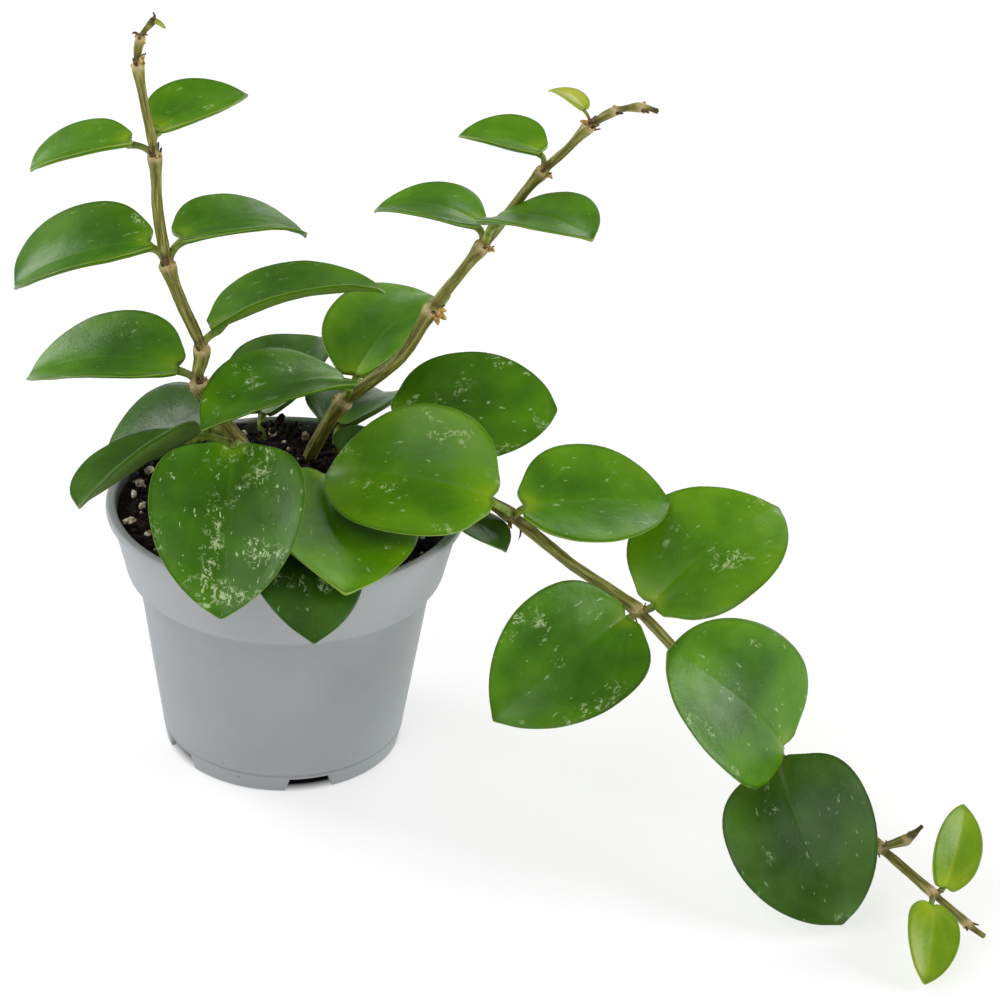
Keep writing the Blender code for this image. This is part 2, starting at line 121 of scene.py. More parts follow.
def finish_mesh(name, mesh_data, materials, sharp=35):
    """Turn a bmesh made in millimetres into a smooth-shaded object at the frame's origin."""
    bmesh.ops.remove_doubles(mesh_data, verts=mesh_data.verts, dist=0.002)
    bmesh.ops.recalc_face_normals(mesh_data, faces=mesh_data.faces)
    bmesh.ops.scale(mesh_data, vec=(MM, MM, MM), verts=mesh_data.verts)
    mesh = bpy.data.meshes.new(name)
    mesh_data.to_mesh(mesh)
    mesh_data.free()
    mesh.shade_smooth()
    mesh.set_sharp_from_angle(angle=radians(sharp))
    for surface in materials:
        mesh.materials.append(surface)
    made = bpy.data.objects.new(name, mesh)
    bpy.context.scene.collection.objects.link(made)
    return made


def settle(piece, slot, *nodes):
    """Fix a piece to the plant and hide the solids it stands for; slot, its record material, is not used."""
    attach(piece, "root")
    if nodes:
        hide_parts(*nodes)


def notch_floor(azimuth):
    """How far the foot ring is lifted there: the sides of a notch lean outwards towards the ground."""
    step = 2 * pi / NOTCH_COUNT
    away = (azimuth - radians(NOTCH_START) + step / 2) % step - step / 2
    across = abs(away) * FOOT_RING
    lift = (NOTCH_HALF_FOOT - across) / (NOTCH_HALF_FOOT - NOTCH_HALF_TOP)
    return NOTCH_HEIGHT * min(1.0, max(0.0, lift))


def make_pot():
    """The turned shell with its notched foot ring; columns stand on each notch's corners."""
    azimuths = {2 * pi * step / POT_COLUMNS for step in range(POT_COLUMNS)}
    for number in range(NOTCH_COUNT):
        middle = radians(NOTCH_START + 360 / NOTCH_COUNT * number)
        for across in (NOTCH_HALF_TOP, NOTCH_HALF_FOOT):
            azimuths |= {(middle + side * across / FOOT_RING) % (2 * pi) for side in (-1, 1)}
    azimuths = sorted(azimuths)
    shell = bmesh.new()
    columns = []
    for azimuth in azimuths:
        floor = notch_floor(azimuth)
        column = []
        for radius, height in POT_OUTSIDE + POT_INSIDE:
            lifted = max(height, floor) if 38 < radius < 41 and height < NOTCH_HEIGHT else height
            column.append(shell.verts.new((radius * cos(azimuth), radius * sin(azimuth), lifted)))
        columns.append(column)
    for column, after in zip(columns, columns[1:] + columns[:1]):
        for row in range(len(column) - 1):
            corners = (column[row], after[row], after[row + 1], column[row + 1])
            shell.faces.new(corners)
    bmesh.ops.dissolve_degenerate(shell, edges=shell.edges, dist=0.002)
    return shell


def drain_holes(pot):
    """Cut the five round holes through the raised floor, one inside each notch."""
    for number in range(NOTCH_COUNT):
        azimuth = radians(NOTCH_START + 360 / NOTCH_COUNT * number)
        drill = bmesh.new()
        bmesh.ops.create_cone(drill, cap_ends=True, segments=32, radius1=DRAIN_RADIUS, radius2=DRAIN_RADIUS,
                              depth=6.0)
        bmesh.ops.translate(drill, verts=drill.verts,
                            vec=(DRAIN_CIRCLE * cos(azimuth), DRAIN_CIRCLE * sin(azimuth), 6.2))
        tool = finish_mesh("drain_drill", drill, [])
        cut = pot.modifiers.new("drain", "BOOLEAN")
        cut.operation, cut.solver, cut.object = "DIFFERENCE", "EXACT", tool
    drilled = bpy.data.meshes.new_from_object(pot.evaluated_get(bpy.context.evaluated_depsgraph_get()))
    for cut in list(pot.modifiers):
        bpy.data.objects.remove(cut.object)
        pot.modifiers.remove(cut)
    pot.data = drilled


# Moulded polypropylene: an even, slightly cool grey with a satin-matt skin. The eye sees a fine spark-eroded
# grain, very slight flow clouds in the colour, a collar painted a little paler as painted light, a few dark
# specks of soil caught low on the wall, and dark brown on the inside of the rim, painted shade with soil dust.
pot_plastic, tree, shader = new_material("moulded_polypropylene_grey", 0.5, 1.49)
place = add_node(tree, "TexCoord")["Object"]
clouds = add_node(tree, "TexNoise", {"Vector": place, "Scale": 1 / (28 * MM), "Detail": 3.0})["Fac"]
tint = add_node(tree, "ValToRGB", {"Fac": clouds}, stops=((0.3, "#969A9D"), (0.7, "#9FA3A6")))["Color"]
specks = add_node(tree, "TexVoronoi", {"Vector": place, "Scale": 1 / (5.5 * MM)})
small = add_node(tree, "MapRange", {"Value": specks["Distance"], 1: 0.05, 2: 0.085, 3: 1.0, 4: 0.0})[0]
height = add_node(tree, "SeparateXYZ", {0: place})["Z"]
low = add_node(tree, "MapRange", {"Value": height, 1: 1 * MM, 2: 16 * MM, 3: 0.75, 4: 0.0})[0]
rare = add_node(tree, "SeparateColor", {0: specks["Color"]})["Red"]
chosen = add_node(tree, "Math", {0: rare, 1: 0.62}, operation="GREATER_THAN")[0]
speck = add_node(tree, "Math", {0: small, 1: low}, operation="MULTIPLY")[0]
speck = add_node(tree, "Math", {0: speck, 1: chosen}, operation="MULTIPLY")[0]
# Painted light: above 63 mm the collar is mixed a little towards pale grey, a painted highlight.
upper = add_node(tree, "MapRange", {"Value": height, 1: 63 * MM, 2: 68 * MM, 3: 0.0, 4: 0.14})[0]
tint = add_node(tree, "Mix", {0: upper, 6: tint, 7: linear("#DCDEE0")}, data_type="RGBA")[2]
colour = add_node(tree, "Mix", {0: speck, 6: tint, 7: linear("#3A332B")}, data_type="RGBA")[2]
# Painted shade with soil dust: the inside of the rim above 84 mm is darkened towards dark brown.
level = add_node(tree, "VectorMath", {0: place, 1: (1, 1, 0)}, operation="MULTIPLY")[0]
from_axis = add_node(tree, "VectorMath", {0: level}, operation="LENGTH")["Value"]
inside = add_node(tree, "MapRange", {"Value": from_axis, 1: 56.4 * MM, 2: 57.0 * MM, 3: 1.0, 4: 0.0})[0]
above = add_node(tree, "MapRange", {"Value": height, 1: 84 * MM, 2: 86 * MM, 3: 0.0, 4: 0.8})[0]
rim_dust_and_shade = add_node(tree, "Math", {0: inside, 1: above}, operation="MULTIPLY")[0]
colour = add_node(tree, "Mix", {0: rim_dust_and_shade, 6: colour, 7: linear("#2A211A")}, data_type="RGBA")[2]
tree.links.new(colour, shader["Base Color"])
grain = add_node(tree, "TexNoise", {"Vector": place, "Scale": 1 / (0.45 * MM), "Detail": 2.0})["Fac"]
skin = add_node(tree, "Bump", {"Height": grain, "Strength": 0.35, "Distance": 0.02 * MM})["Normal"]
tree.links.new(skin, shader["Normal"])
rough = add_node(tree, "MapRange", {"Value": clouds, 1: 0.3, 2: 0.7, 3: 0.46, 4: 0.56})[0]
tree.links.new(rough, shader["Roughness"])

pot = finish_mesh("pot_shell", make_pot(), [pot_plastic], sharp=32)
drain_holes(pot)
settle(pot, "pot_plastic", "pot")

# Soil ------------------------------------------------------------------------------------------------
# Peat-based potting soil that fills the pot to just under its rim: a rough plug with loose crumbs on top.
# It is almost black when moist, with fibres and a few small white and rusty grains mixed in.
SOIL_RADIUS = (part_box("soil")[1].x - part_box("soil")[0].x) / 2 / MM
SOIL_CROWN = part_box("soil")[1].z / MM
SOIL_DROP = 2.5             # how much lower the soil is at the wall
SOIL_SEGMENTS = 180
SOIL_RINGS = 44
SOIL_UNDER = [
    (51.6, 67.9), (50.0, 66.4), (47.8, 64.4), (47.4, 62.1), (39.7, 8.8), (38.9, 7.3), (16.0, 7.3), (12.5, 1.9),
    (0.0, 1.9),
]
CRUMB_COUNT = 1800
GRIT_SHARE = 0.06           # crumbs that are small perlite instead of peat
HEAPED = 5.5                # how high the crumbs are heaped against the back wall


def soil_height(radius):
    """The soil's surface is a low crown."""
    return SOIL_CROWN - SOIL_DROP * (radius / SOIL_RADIUS) ** 2


def turned_plug():
    """The soil as one closed body: a lumpy top and plain sides that follow the pot."""
    plug = bmesh.new()
    rings = []
    for ring in range(SOIL_RINGS + 1):
        radius = SOIL_RADIUS * ring / SOIL_RINGS
        loop = []
        for step in range(SOIL_SEGMENTS):
            azimuth = 2 * pi * step / SOIL_SEGMENTS
            spot = Vector((radius * cos(azimuth), radius * sin(azimuth), 0))
            lump = 1.1 * noise.noise(spot / 7.0) + 0.9 * noise.noise(spot / 2.6) + 0.5 * noise.noise(spot / 1.2)
            spot.z = soil_height(radius) - 0.5 + lump
            loop.append(plug.verts.new(spot))
        rings.append(loop)
    for radius, height in SOIL_UNDER:
        rings.append([plug.verts.new((radius * cos(2 * pi * step / SOIL_SEGMENTS),
                                      radius * sin(2 * pi * step / SOIL_SEGMENTS), height))
                      for step in range(SOIL_SEGMENTS)])
    for inner, outer in zip(rings, rings[1:]):
        for step in range(SOIL_SEGMENTS):
            after = (step + 1) % SOIL_SEGMENTS
            plug.faces.new((inner[step], outer[step], outer[after], inner[after]))
    bmesh.ops.dissolve_degenerate(plug, edges=plug.edges, dist=0.002)
    return plug


def add_lump(mesh_data, centre, size, draw, fineness=1, surface=0, flat=1.0):
    """Add one irregular closed lump: a small ball pushed in and out, squashed and turned at random."""
    made = bmesh.ops.create_icosphere(mesh_data, subdivisions=fineness, radius=size / 2)["verts"]
    turn = Matrix.Rotation(draw.uniform(0, pi), 3, Vector((draw.uniform(-1, 1), draw.uniform(-1, 1), 0.7)))
    stretch = Vector((draw.uniform(0.75, 1.3), draw.uniform(0.7, 1.1), draw.uniform(0.6, 1.0) * flat))
    offset = Vector((draw.uniform(0, 99), draw.uniform(0, 99), 0))
    for vertex in made:
        push = 1 + 0.42 * noise.noise(vertex.co * (1.9 / size) + offset)
        push += 0.2 * noise.noise(vertex.co * (5.2 / size) + offset)
        spot = Vector([part * factor for part, factor in zip(vertex.co * push, stretch)])
        vertex.co = centre + turn @ spot
        for face in vertex.link_faces:
            face.material_index = surface


# Moist peat: near-black brown crumbs with a little redder fibre, fully matt; the colour moves from crumb to
# crumb, so the heap reads as loose grains.
peat, tree, shader = new_material("moist_peat_soil", 0.95, 1.45)
place = add_node(tree, "TexCoord")["Object"]
crumbs = add_node(tree, "TexVoronoi", {"Vector": place, "Scale": 1 / (1.6 * MM)})["Color"]
patch = add_node(tree, "SeparateColor", {0: crumbs})["Green"]
fibre = add_node(tree, "TexNoise", {"Vector": place, "Scale": 1 / (0.7 * MM), "Detail": 4.0})["Fac"]
mixed = add_node(tree, "Math", {0: patch, 1: fibre}, operation="MULTIPLY")[0]
colour = add_node(tree, "ValToRGB", {"Fac": mixed},
                  stops=((0.0, "#0C0705"), (0.36, "#1C110B"), (0.6, "#52301C")))["Color"]
tree.links.new(colour, shader["Base Color"])
skin = add_node(tree, "Bump", {"Height": fibre, "Strength": 0.9, "Distance": 0.5 * MM})["Normal"]
tree.links.new(skin, shader["Normal"])

# Expanded perlite: white volcanic foam stained cream and pink by the peat, rough and chalky.
perlite, tree, shader = new_material("expanded_perlite", 0.9, 1.5)
place = add_node(tree, "TexCoord")["Object"]
stain = add_node(tree, "TexNoise", {"Vector": place, "Scale": 1 / (1.7 * MM), "Detail": 5.0})["Fac"]
colour = add_node(tree, "ValToRGB", {"Fac": stain},
                  stops=((0.34, "#7A5436"), (0.46, "#D2BE9C"), (0.6, "#F4EEDD")))["Color"]
tree.links.new(colour, shader["Base Color"])
pits = add_node(tree, "TexVoronoi", {"Vector": place, "Scale": 1 / (0.6 * MM)})["Distance"]
skin = add_node(tree, "Bump", {"Height": pits, "Strength": 0.8, "Distance": 0.3 * MM})["Normal"]
tree.links.new(skin, shader["Normal"])

soil = finish_mesh("soil_plug", turned_plug(), [peat], sharp=60)
settle(soil, "soil", "soil")

draw = random.Random(11)
loose = bmesh.new()
for _ in range(CRUMB_COUNT):
    azimuth, radius = draw.uniform(0, 2 * pi), (SOIL_RADIUS - 1.6) * sqrt(draw.random())
    gritty = draw.random() < GRIT_SHARE
    size = draw.uniform(0.9, 1.9) if gritty else 1.0 + 3.0 * draw.random() ** 2
    heap = HEAPED * max(0.0, sin(azimuth)) * radius / SOIL_RADIUS * draw.random()
    centre = Vector((radius * cos(azimuth), radius * sin(azimuth), soil_height(radius) + heap + 0.25 * size))
    add_lump(loose, centre, size, draw, surface=1 if gritty else 0, flat=0.8)
crumbs = finish_mesh("soil_crumbs", loose, [peat, perlite], sharp=20)
settle(crumbs, "soil")

# Perlite and bark on the soil ------------------------------------------------------------------------
# The larger grains of expanded perlite, and two flakes of pine bark beside the right vine, lie loose on top.
GRAIN_NODES = sorted(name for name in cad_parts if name.startswith("perlite_"))
FLAKE_NODES = sorted(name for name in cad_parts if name.startswith("bark_flake_"))
LUMPS_PER_FLAKE = 5

grains = bmesh.new()
for name in GRAIN_NODES:
    low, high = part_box(name)
    add_lump(grains, (low + high) / 2 / MM, (high.x - low.x) / MM * 1.02, draw, fineness=2)
grains = finish_mesh("perlite_grains", grains, [perlite], sharp=16)
settle(grains, "perlite", *GRAIN_NODES)

# Pine bark: reddish brown, fibrous along its length, matt.
bark = grainy_skin("pine_bark", 0.85, 1.1, 5.0,
                   ((0.3, "#3B1E12"), (0.52, "#7A4529"), (0.7, "#A9714A")), 0.8, 0.4)

for number, name in enumerate(FLAKE_NODES, start=1):
    low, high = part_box(name)
    centre, spread = (low + high) / 2 / MM, (high - low) / MM
    flake = bmesh.new()
    for _ in range(LUMPS_PER_FLAKE):
        shift = Vector((draw.uniform(-0.28, 0.28) * spread.x, draw.uniform(-0.28, 0.28) * spread.y, 0))
        add_lump(flake, centre + shift, draw.uniform(0.35, 0.6) * spread.x, draw, fineness=2, flat=0.45)
    flake = finish_mesh(f"bark_flakes_{number}", flake, [bark], sharp=40)
    settle(flake, "bark", name)

# Vines -----------------------------------------------------------------------------------------------
# Three woody vines, 3 to 5 mm thick, rooted in the soil: two climb to the left and right, and one arches over
# the rim and trails to the right. Each leaf pair grows from a swollen joint that keeps dry brown scales.
# Points along the centre lines repeat the model's values, as (x, y, z, radius). A separate script worked the
# places out from points marked by eye, and they were rounded.
VINES = {
    "stem_left": [
        (-1, 1, 66, 2.6), (-3, 1, 86, 2.6), (-7, 1, 97, 2.5), (-12, 0, 106, 2.5), (-23, 2, 119, 2.3),
        (-30, 3, 130, 2.3), (-29, 4, 142, 2.1), (-35, 4, 157, 2.0), (-40, 5, 171, 2.0), (-43, 5, 190, 1.8),
        (-44, 6, 208, 1.7), (-47, 6, 225, 1.4), (-49, 6, 238, 1.5), (-48, 6, 247, 1.1), (-44, 6, 253, 1.2),
    ],
    "stem_right": [
        (2, 31, 66, 2.5), (4, 30, 86, 2.5), (9, 28, 100, 2.4), (17, 25, 115, 2.4), (35, 23, 133, 2.1),
        (45, 22, 152, 2.1), (54, 21, 166, 1.8), (61, 20, 177, 1.9), (71, 19, 193, 1.6), (79, 18, 205, 1.7),
        (86, 17, 213, 1.4), (93, 16, 222, 1.5), (101, 15, 228, 1.2), (109, 14, 230, 1.2), (114, 14, 229, 1.0),
    ],
    "stem_trailing": [
        (26, 15, 66, 2.0), (29, 14, 86, 2.0), (35, 9, 97, 2.0), (46, 3, 102, 2.2), (60, -5, 100, 1.9),
        (75, -14, 96, 2.1), (95, -22, 84, 1.9), (118, -30, 72, 1.9), (141, -45, 55, 1.6), (164, -60, 40, 1.8),
        (182, -72, 29, 1.5), (199, -83, 20, 1.6), (215, -96, 13, 1.4), (226, -105, 8, 1.3), (231, -108, 6, 0.9),
    ],
    "side_shoot": [
        (199.5, -83, 20.5, 1.2), (205, -81.5, 21.8, 1.3), (207, -81, 22.5, 1.4), (209.5, -79.5, 24, 1.2),
        (212, -78, 26, 0.9),
    ],
}
# Swollen joints: the point's number on the vine, how much thicker it is, and how many dry scales it keeps.
JOINTS = {
    "stem_left": ((3, 0.6, 2), (5, 0.9, 4), (6, 0.8, 2), (8, 0.9, 4), (10, 0.8, 4), (12, 0.6, 4), (13, 0.5, 2)),
    "stem_right": ((3, 0.9, 1), (5, 0.8, 3), (7, 0.9, 4), (9, 0.7, 4), (11, 0.7, 4), (12, 0.4, 2), (13, 0.4, 2)),
    "stem_trailing": ((3, 0.4, 0), (5, 0.7, 3), (7, 0.8, 3), (9, 0.6, 2), (11, 0.6, 2), (12, 0.4, 2),
                      (13, 0.3, 2)),
    "side_shoot": ((2, 0.4, 1), (3, 0.3, 0)),
}
VINE_SIDES = 20
RINGS_PER_POINT = 24
FLARE = 4.5                 # a joint's flare starts this far below its rim
STEP_DOWN = 0.9             # and the vine thins again within this much above it
NECK = 0.25                 # how much thinner it is just above a joint
BROWN_TIP = {"stem_left": 2.5, "stem_right": 2.0, "stem_trailing": 0.0, "side_shoot": 7.0}


def along(points, share):
    """A point on the smooth (Catmull-Rom) curve through the points; share counts in points."""
    index = min(int(share), len(points) - 2)
    t = share - index
    here, after = points[index], points[index + 1]
    before = points[index - 1] if index else here * 2 - after
    beyond = points[index + 2] if index + 2 < len(points) else after * 2 - here
    return 0.5 * (2 * here + (after - before) * t + (2 * before - 5 * here + 4 * after - beyond) * t * t
                  + (3 * here - before - 3 * after + beyond) * t * t * t)


def vine_path(name):
    """Places and radii along a vine, one for each ring."""
    points = VINES[name]
    places = [Vector(point[:3]) for point in points]
    radii = [Vector((point[3], 0, 0)) for point in points]
    shares = [step / RINGS_PER_POINT for step in range((len(points) - 1) * RINGS_PER_POINT + 1)]
    return [along(places, share) for share in shares], [along(radii, share).x for share in shares]


def carried_frames(path, first_side):
    """Tangent, side and normal at each place of a path, carried along it without twist."""
    frames = []
    side = first_side
    for index, _ in enumerate(path):
        tangent = (path[min(index + 1, len(path) - 1)] - path[max(index - 1, 0)]).normalized()
        side = side - tangent * side.dot(tangent)
        side = side.normalized() if side.length > 1e-6 else tangent.orthogonal().normalized()
        frames.append((tangent, side, tangent.cross(side)))
    return frames


def add_tube(mesh_data, path, radii, sides, surface=0, flat=1.0, first_side=Vector((0, 1, 0)),
             swell=None, told=None):
    """Add a closed round tube; told gives each ring's own value for the "run" attribute's third number."""
    run = mesh_data.verts.layers.float_vector.get("run") or mesh_data.verts.layers.float_vector.new("run")
    loops = []
    travelled = 0.0
    frames = carried_frames(path, first_side)
    for index, (spot, radius) in enumerate(zip(path, radii)):
        if index:
            travelled += (spot - path[index - 1]).length
        _, side, normal = frames[index]
        loop = []
        for step in range(sides):
            turn = 2 * pi * step / sides
            reach = radius * (swell(travelled, turn) if swell else 1.0)
            vertex = mesh_data.verts.new(spot + side * reach * cos(turn) + normal * reach * flat * sin(turn))
            vertex[run] = (travelled, turn, told[index] if told else 0.0)
            loop.append(vertex)
        loops.append(loop)
    faces = []
    for low, high in zip(loops, loops[1:]):
        for step in range(sides):
            after = (step + 1) % sides
            faces.append(mesh_data.faces.new((low[step], low[after], high[after], high[step])))
    for loop, direction in ((loops[0], -1), (loops[-1], 1)):
        end = 0 if direction < 0 else -1
        tip = mesh_data.verts.new(path[end] + frames[end][0] * direction * radii[end] * 0.5)
        tip[run] = loop[0][run]
        faces += [mesh_data.faces.new((loop[step], loop[(step + 1) % sides], tip)) for step in range(sides)]
    for face in faces:
        face.material_index = surface


def add_scale(mesh_data, foot, outward, up, length, width, surface, curl=0.12):
    """Add one dry blunt scale that stands against the vine above a joint and leans out at its tip."""
    path, radii = [], []
    for step in range(8):
        share = step / 7
        lean = outward * sin(0.2 + curl * 2 * share) + up * cos(0.2 + curl * 2 * share)
        path.append(foot + lean * length * share)
        radii.append(width / 2 * (1 - share) ** 0.35 * (0.8 + 0.3 * share) + 0.08)
    add_tube(mesh_data, path, radii, 8, surface, flat=0.4, first_side=outward.cross(up))


def stem_skin(name, deep, mid, streak, joint, brown):
    """Young bark: fine lengthwise streaks over a darker ground, and paler corky skin at the joints."""
    made, tree, shader = new_material(name, 0.5, 1.45)
    run = add_node(tree, "Attribute", attribute_name="run")["Vector"]
    parts = add_node(tree, "SeparateXYZ", {0: run})
    place = add_node(tree, "TexCoord")["Object"]
    round_x = add_node(tree, "Math", {0: parts["Y"]}, operation="COSINE")[0]
    round_y = add_node(tree, "Math", {0: parts["Y"]}, operation="SINE")[0]
    length = add_node(tree, "Math", {0: parts["X"], 1: 1 / 24}, operation="MULTIPLY")[0]
    fibre = add_node(tree, "CombineXYZ", {0: round_x, 1: round_y, 2: length})[0]
    streaks = add_node(tree, "TexNoise", {"Vector": fibre, "Scale": 2.6, "Detail": 5.0,
                                          "Roughness": 0.6})["Fac"]
    colour = add_node(tree, "ValToRGB", {"Fac": streaks},
                      stops=((0.34, deep), (0.52, mid), (0.68, streak)))["Color"]
    cork = add_node(tree, "TexNoise", {"Vector": place, "Scale": 1 / (1.3 * MM), "Detail": 4.0})["Fac"]
    corky = add_node(tree, "MapRange", {"Value": cork, 1: 0.35, 2: 0.7, 3: 0.55, 4: 1.1})[0]
    corky = add_node(tree, "Math", {0: corky, 1: parts["Z"]}, operation="MULTIPLY", use_clamp=True)[0]
    colour = add_node(tree, "Mix", {0: corky, 6: colour, 7: linear(joint)}, data_type="RGBA")[2]
    aged = add_node(tree, "MapRange", {"Value": parts["Z"], 1: -0.8, 2: -0.1, 3: 0.85, 4: 0.0})[0]
    colour = add_node(tree, "Mix", {0: aged, 6: colour, 7: linear(brown)}, data_type="RGBA")[2]
    pores = add_node(tree, "TexVoronoi", {"Vector": place, "Scale": 1 / (1.5 * MM)})["Distance"]
    pore = add_node(tree, "MapRange", {"Value": pores, 1: 0.08, 2: 0.13, 3: 0.4, 4: 0.0})[0]
    colour = add_node(tree, "Mix", {0: pore, 6: colour, 7: linear("#B9A878")}, data_type="RGBA")[2]
    tree.links.new(colour, shader["Base Color"])
    relief = add_node(tree, "Math", {0: streaks, 1: cork}, operation="ADD")[0]
    skin = add_node(tree, "Bump", {"Height": relief, "Strength": 0.7, "Distance": 0.35 * MM})["Normal"]
    tree.links.new(skin, shader["Normal"])
    return made


# Young vine bark: olive green with long beige streaks and pale pores, satin, with a tan corky rim at each
# joint and a darker neck above it.
vine_bark = stem_skin("young_vine_bark", "#524E14", "#807E2E", "#B2AE66", "#CBB684", "#46361A")

# Dry scale: the brown papery remains of leaf buds, thin and matt.
dry_scale = grainy_skin("dry_papery_scale", 0.75, 0.9, 3.0,
                        ((0.35, "#3A2816"), (0.55, "#6A4A2A"), (0.72, "#9C7A4C")), 0.6, 0.3)

# Air-root stub: short blunt ends of cut or resting roots, orange-tan and slightly fleshy.
root_stub = grainy_skin("air_root_stub", 0.6, 1.2, 3.0,
                        ((0.35, "#8E6A28"), (0.5, "#BE9648"), (0.66, "#DCC488")), 0.5, 0.3)

# Growing bud: soft yellow-green tissue at a vine's tip, smooth and a little waxy.
green_bud, tree, shader = new_material("soft_green_bud", 0.45, 1.42)
place = add_node(tree, "TexCoord")["Object"]
blush = add_node(tree, "TexNoise", {"Vector": place, "Scale": 1 / (2.5 * MM), "Detail": 2.0})["Fac"]
colour = add_node(tree, "ValToRGB", {"Fac": blush}, stops=((0.35, "#8E9A2C"), (0.65, "#B9B94C")))["Color"]
tree.links.new(colour, shader["Base Color"])

VINE_FINISHES = [vine_bark, dry_scale, root_stub, green_bud]
SCALE_SKIN, STUB_SKIN, BUD_SKIN = 1, 2, 3

# Single features of a vine: surface, point number, direction it stands out in, length and width.
FEATURES = {
    "stem_left": (
        (BUD_SKIN, 14, (0.85, -0.2, -0.4), 3.8, 2.0), (STUB_SKIN, 12, (0.45, -0.4, 0.8), 4.4, 1.9),
        (SCALE_SKIN, 13, (-0.7, -0.5, 0.4), 3.0, 2.0), (SCALE_SKIN, 13, (0.7, -0.5, 0.3), 2.4, 1.8),
        (SCALE_SKIN, 14, (-0.2, -0.4, 0.9), 2.4, 2.0),
    ),
    "stem_right": (
        (STUB_SKIN, 5, (0.9, -0.5, -0.3), 4.6, 3.0), (STUB_SKIN, 5, (0.55, -0.6, -0.75), 4.0, 2.8),
        (STUB_SKIN, 5, (0.98, -0.2, 0.1), 3.8, 2.4), (STUB_SKIN, 7, (0.9, -0.5, -0.2), 3.2, 2.0),
        (STUB_SKIN, 9, (0.8, -0.6, -0.3), 3.0, 1.8), (STUB_SKIN, 11, (-0.7, -0.5, 0.6), 3.4, 2.0),
    ),
    "stem_trailing": (
        (STUB_SKIN, 5, (-0.2, -0.75, -0.8), 5.0, 1.8), (SCALE_SKIN, 5, (0.2, -0.5, -0.95), 7.0, 2.2),
        (SCALE_SKIN, 11, (0.1, -0.2, 1.0), 3.4, 1.8), (SCALE_SKIN, 7, (0.5, 0.2, 0.8), 2.6, 1.6),
    ),
    "side_shoot": ((SCALE_SKIN, 2, (-0.2, -0.4, 0.9), 2.4, 1.5),),
}


def make_vine(name, draw):
    """A vine with its swollen joints, its dry scales and its stubs and buds."""
    spots, widths = vine_path(name)
    run = [0.0]
    for before, spot in zip(spots, spots[1:]):
        run.append(run[-1] + (spot - before).length)
    ageing = []
    for index, here in enumerate(run):
        age = -min(1.0, max(0.0, (here - run[-1] + BROWN_TIP[name]) / 2))
        for number, swelling, _ in JOINTS[name]:
            above = here - run[number * RINGS_PER_POINT]
            widths[index] += swelling * exp(-(above / (STEP_DOWN if above > 0 else FLARE)) ** 2)
            widths[index] -= NECK * exp(-((above - 3) / 2) ** 2)
            age += 1.1 * exp(-(above / 1.5) ** 2) - 0.6 * exp(-((above - 3) / 1.6) ** 2)
        ageing.append(age)
    shift = Vector((draw.uniform(0, 50), draw.uniform(0, 50), 0))

    def ripple(travelled, turn):
        spot = Vector((cos(turn), sin(turn), travelled / 9)) * 1.3 + shift
        return 1 + 0.07 * noise.noise(spot) + 0.05 * noise.noise(spot * 3.1)

    vine = bmesh.new()
    add_tube(vine, spots, widths, VINE_SIDES, swell=ripple, told=ageing)
    frames = carried_frames(spots, Vector((0, 1, 0)))
    for number, swelling, scales in JOINTS[name]:
        ring = number * RINGS_PER_POINT
        tangent, side, normal = frames[ring]
        for count in range(scales):
            turn = draw.uniform(0, 2 * pi) if count > 1 else draw.uniform(-0.5, 0.5) + pi * count
            outward = side * cos(turn) + normal * sin(turn)
            foot = spots[ring] + outward * widths[ring] * 0.8 + tangent * draw.uniform(-0.6, 0.6)
            size = min(1.0, widths[ring] / 1.9)
            add_scale(vine, foot, outward, tangent, draw.uniform(2.0, 4.2) * size,
                      draw.uniform(1.2, 1.9) * size, SCALE_SKIN)
            turn += draw.uniform(0.6, 2.2)
            knob = spots[ring] + (side * cos(turn) + normal * sin(turn)) * widths[ring] * 0.95
            add_lump(vine, knob + tangent * draw.uniform(-1.0, 0.8), draw.uniform(0.9, 1.7) * size, draw,
                     fineness=2, surface=STUB_SKIN)
    for surface, number, direction, length, width in FEATURES[name]:
        ring = number * RINGS_PER_POINT
        outward = Vector(direction).normalized()
        foot = spots[ring] + outward * widths[ring] * 0.5
        if surface == SCALE_SKIN:
            sideways = outward.cross(frames[ring][0]).normalized()
            add_scale(vine, foot, outward, sideways.cross(outward), length, width, surface, curl=0.6)
            continue
        path = [foot + outward * length * step / 4 + frames[ring][0] * 0.25 * sin(step * 1.1)
                for step in range(5)]
        radii = [width / 2 * (1 - 0.12 * step) for step in range(4)] + [width / 2 * 0.3]
        add_tube(vine, path, radii, 10, surface)
    return vine


for name in VINES:
    vine = finish_mesh(name.replace("stem_", "vine_"), make_vine(name, draw), VINE_FINISHES, sharp=50)
    settle(vine, "stem", name)
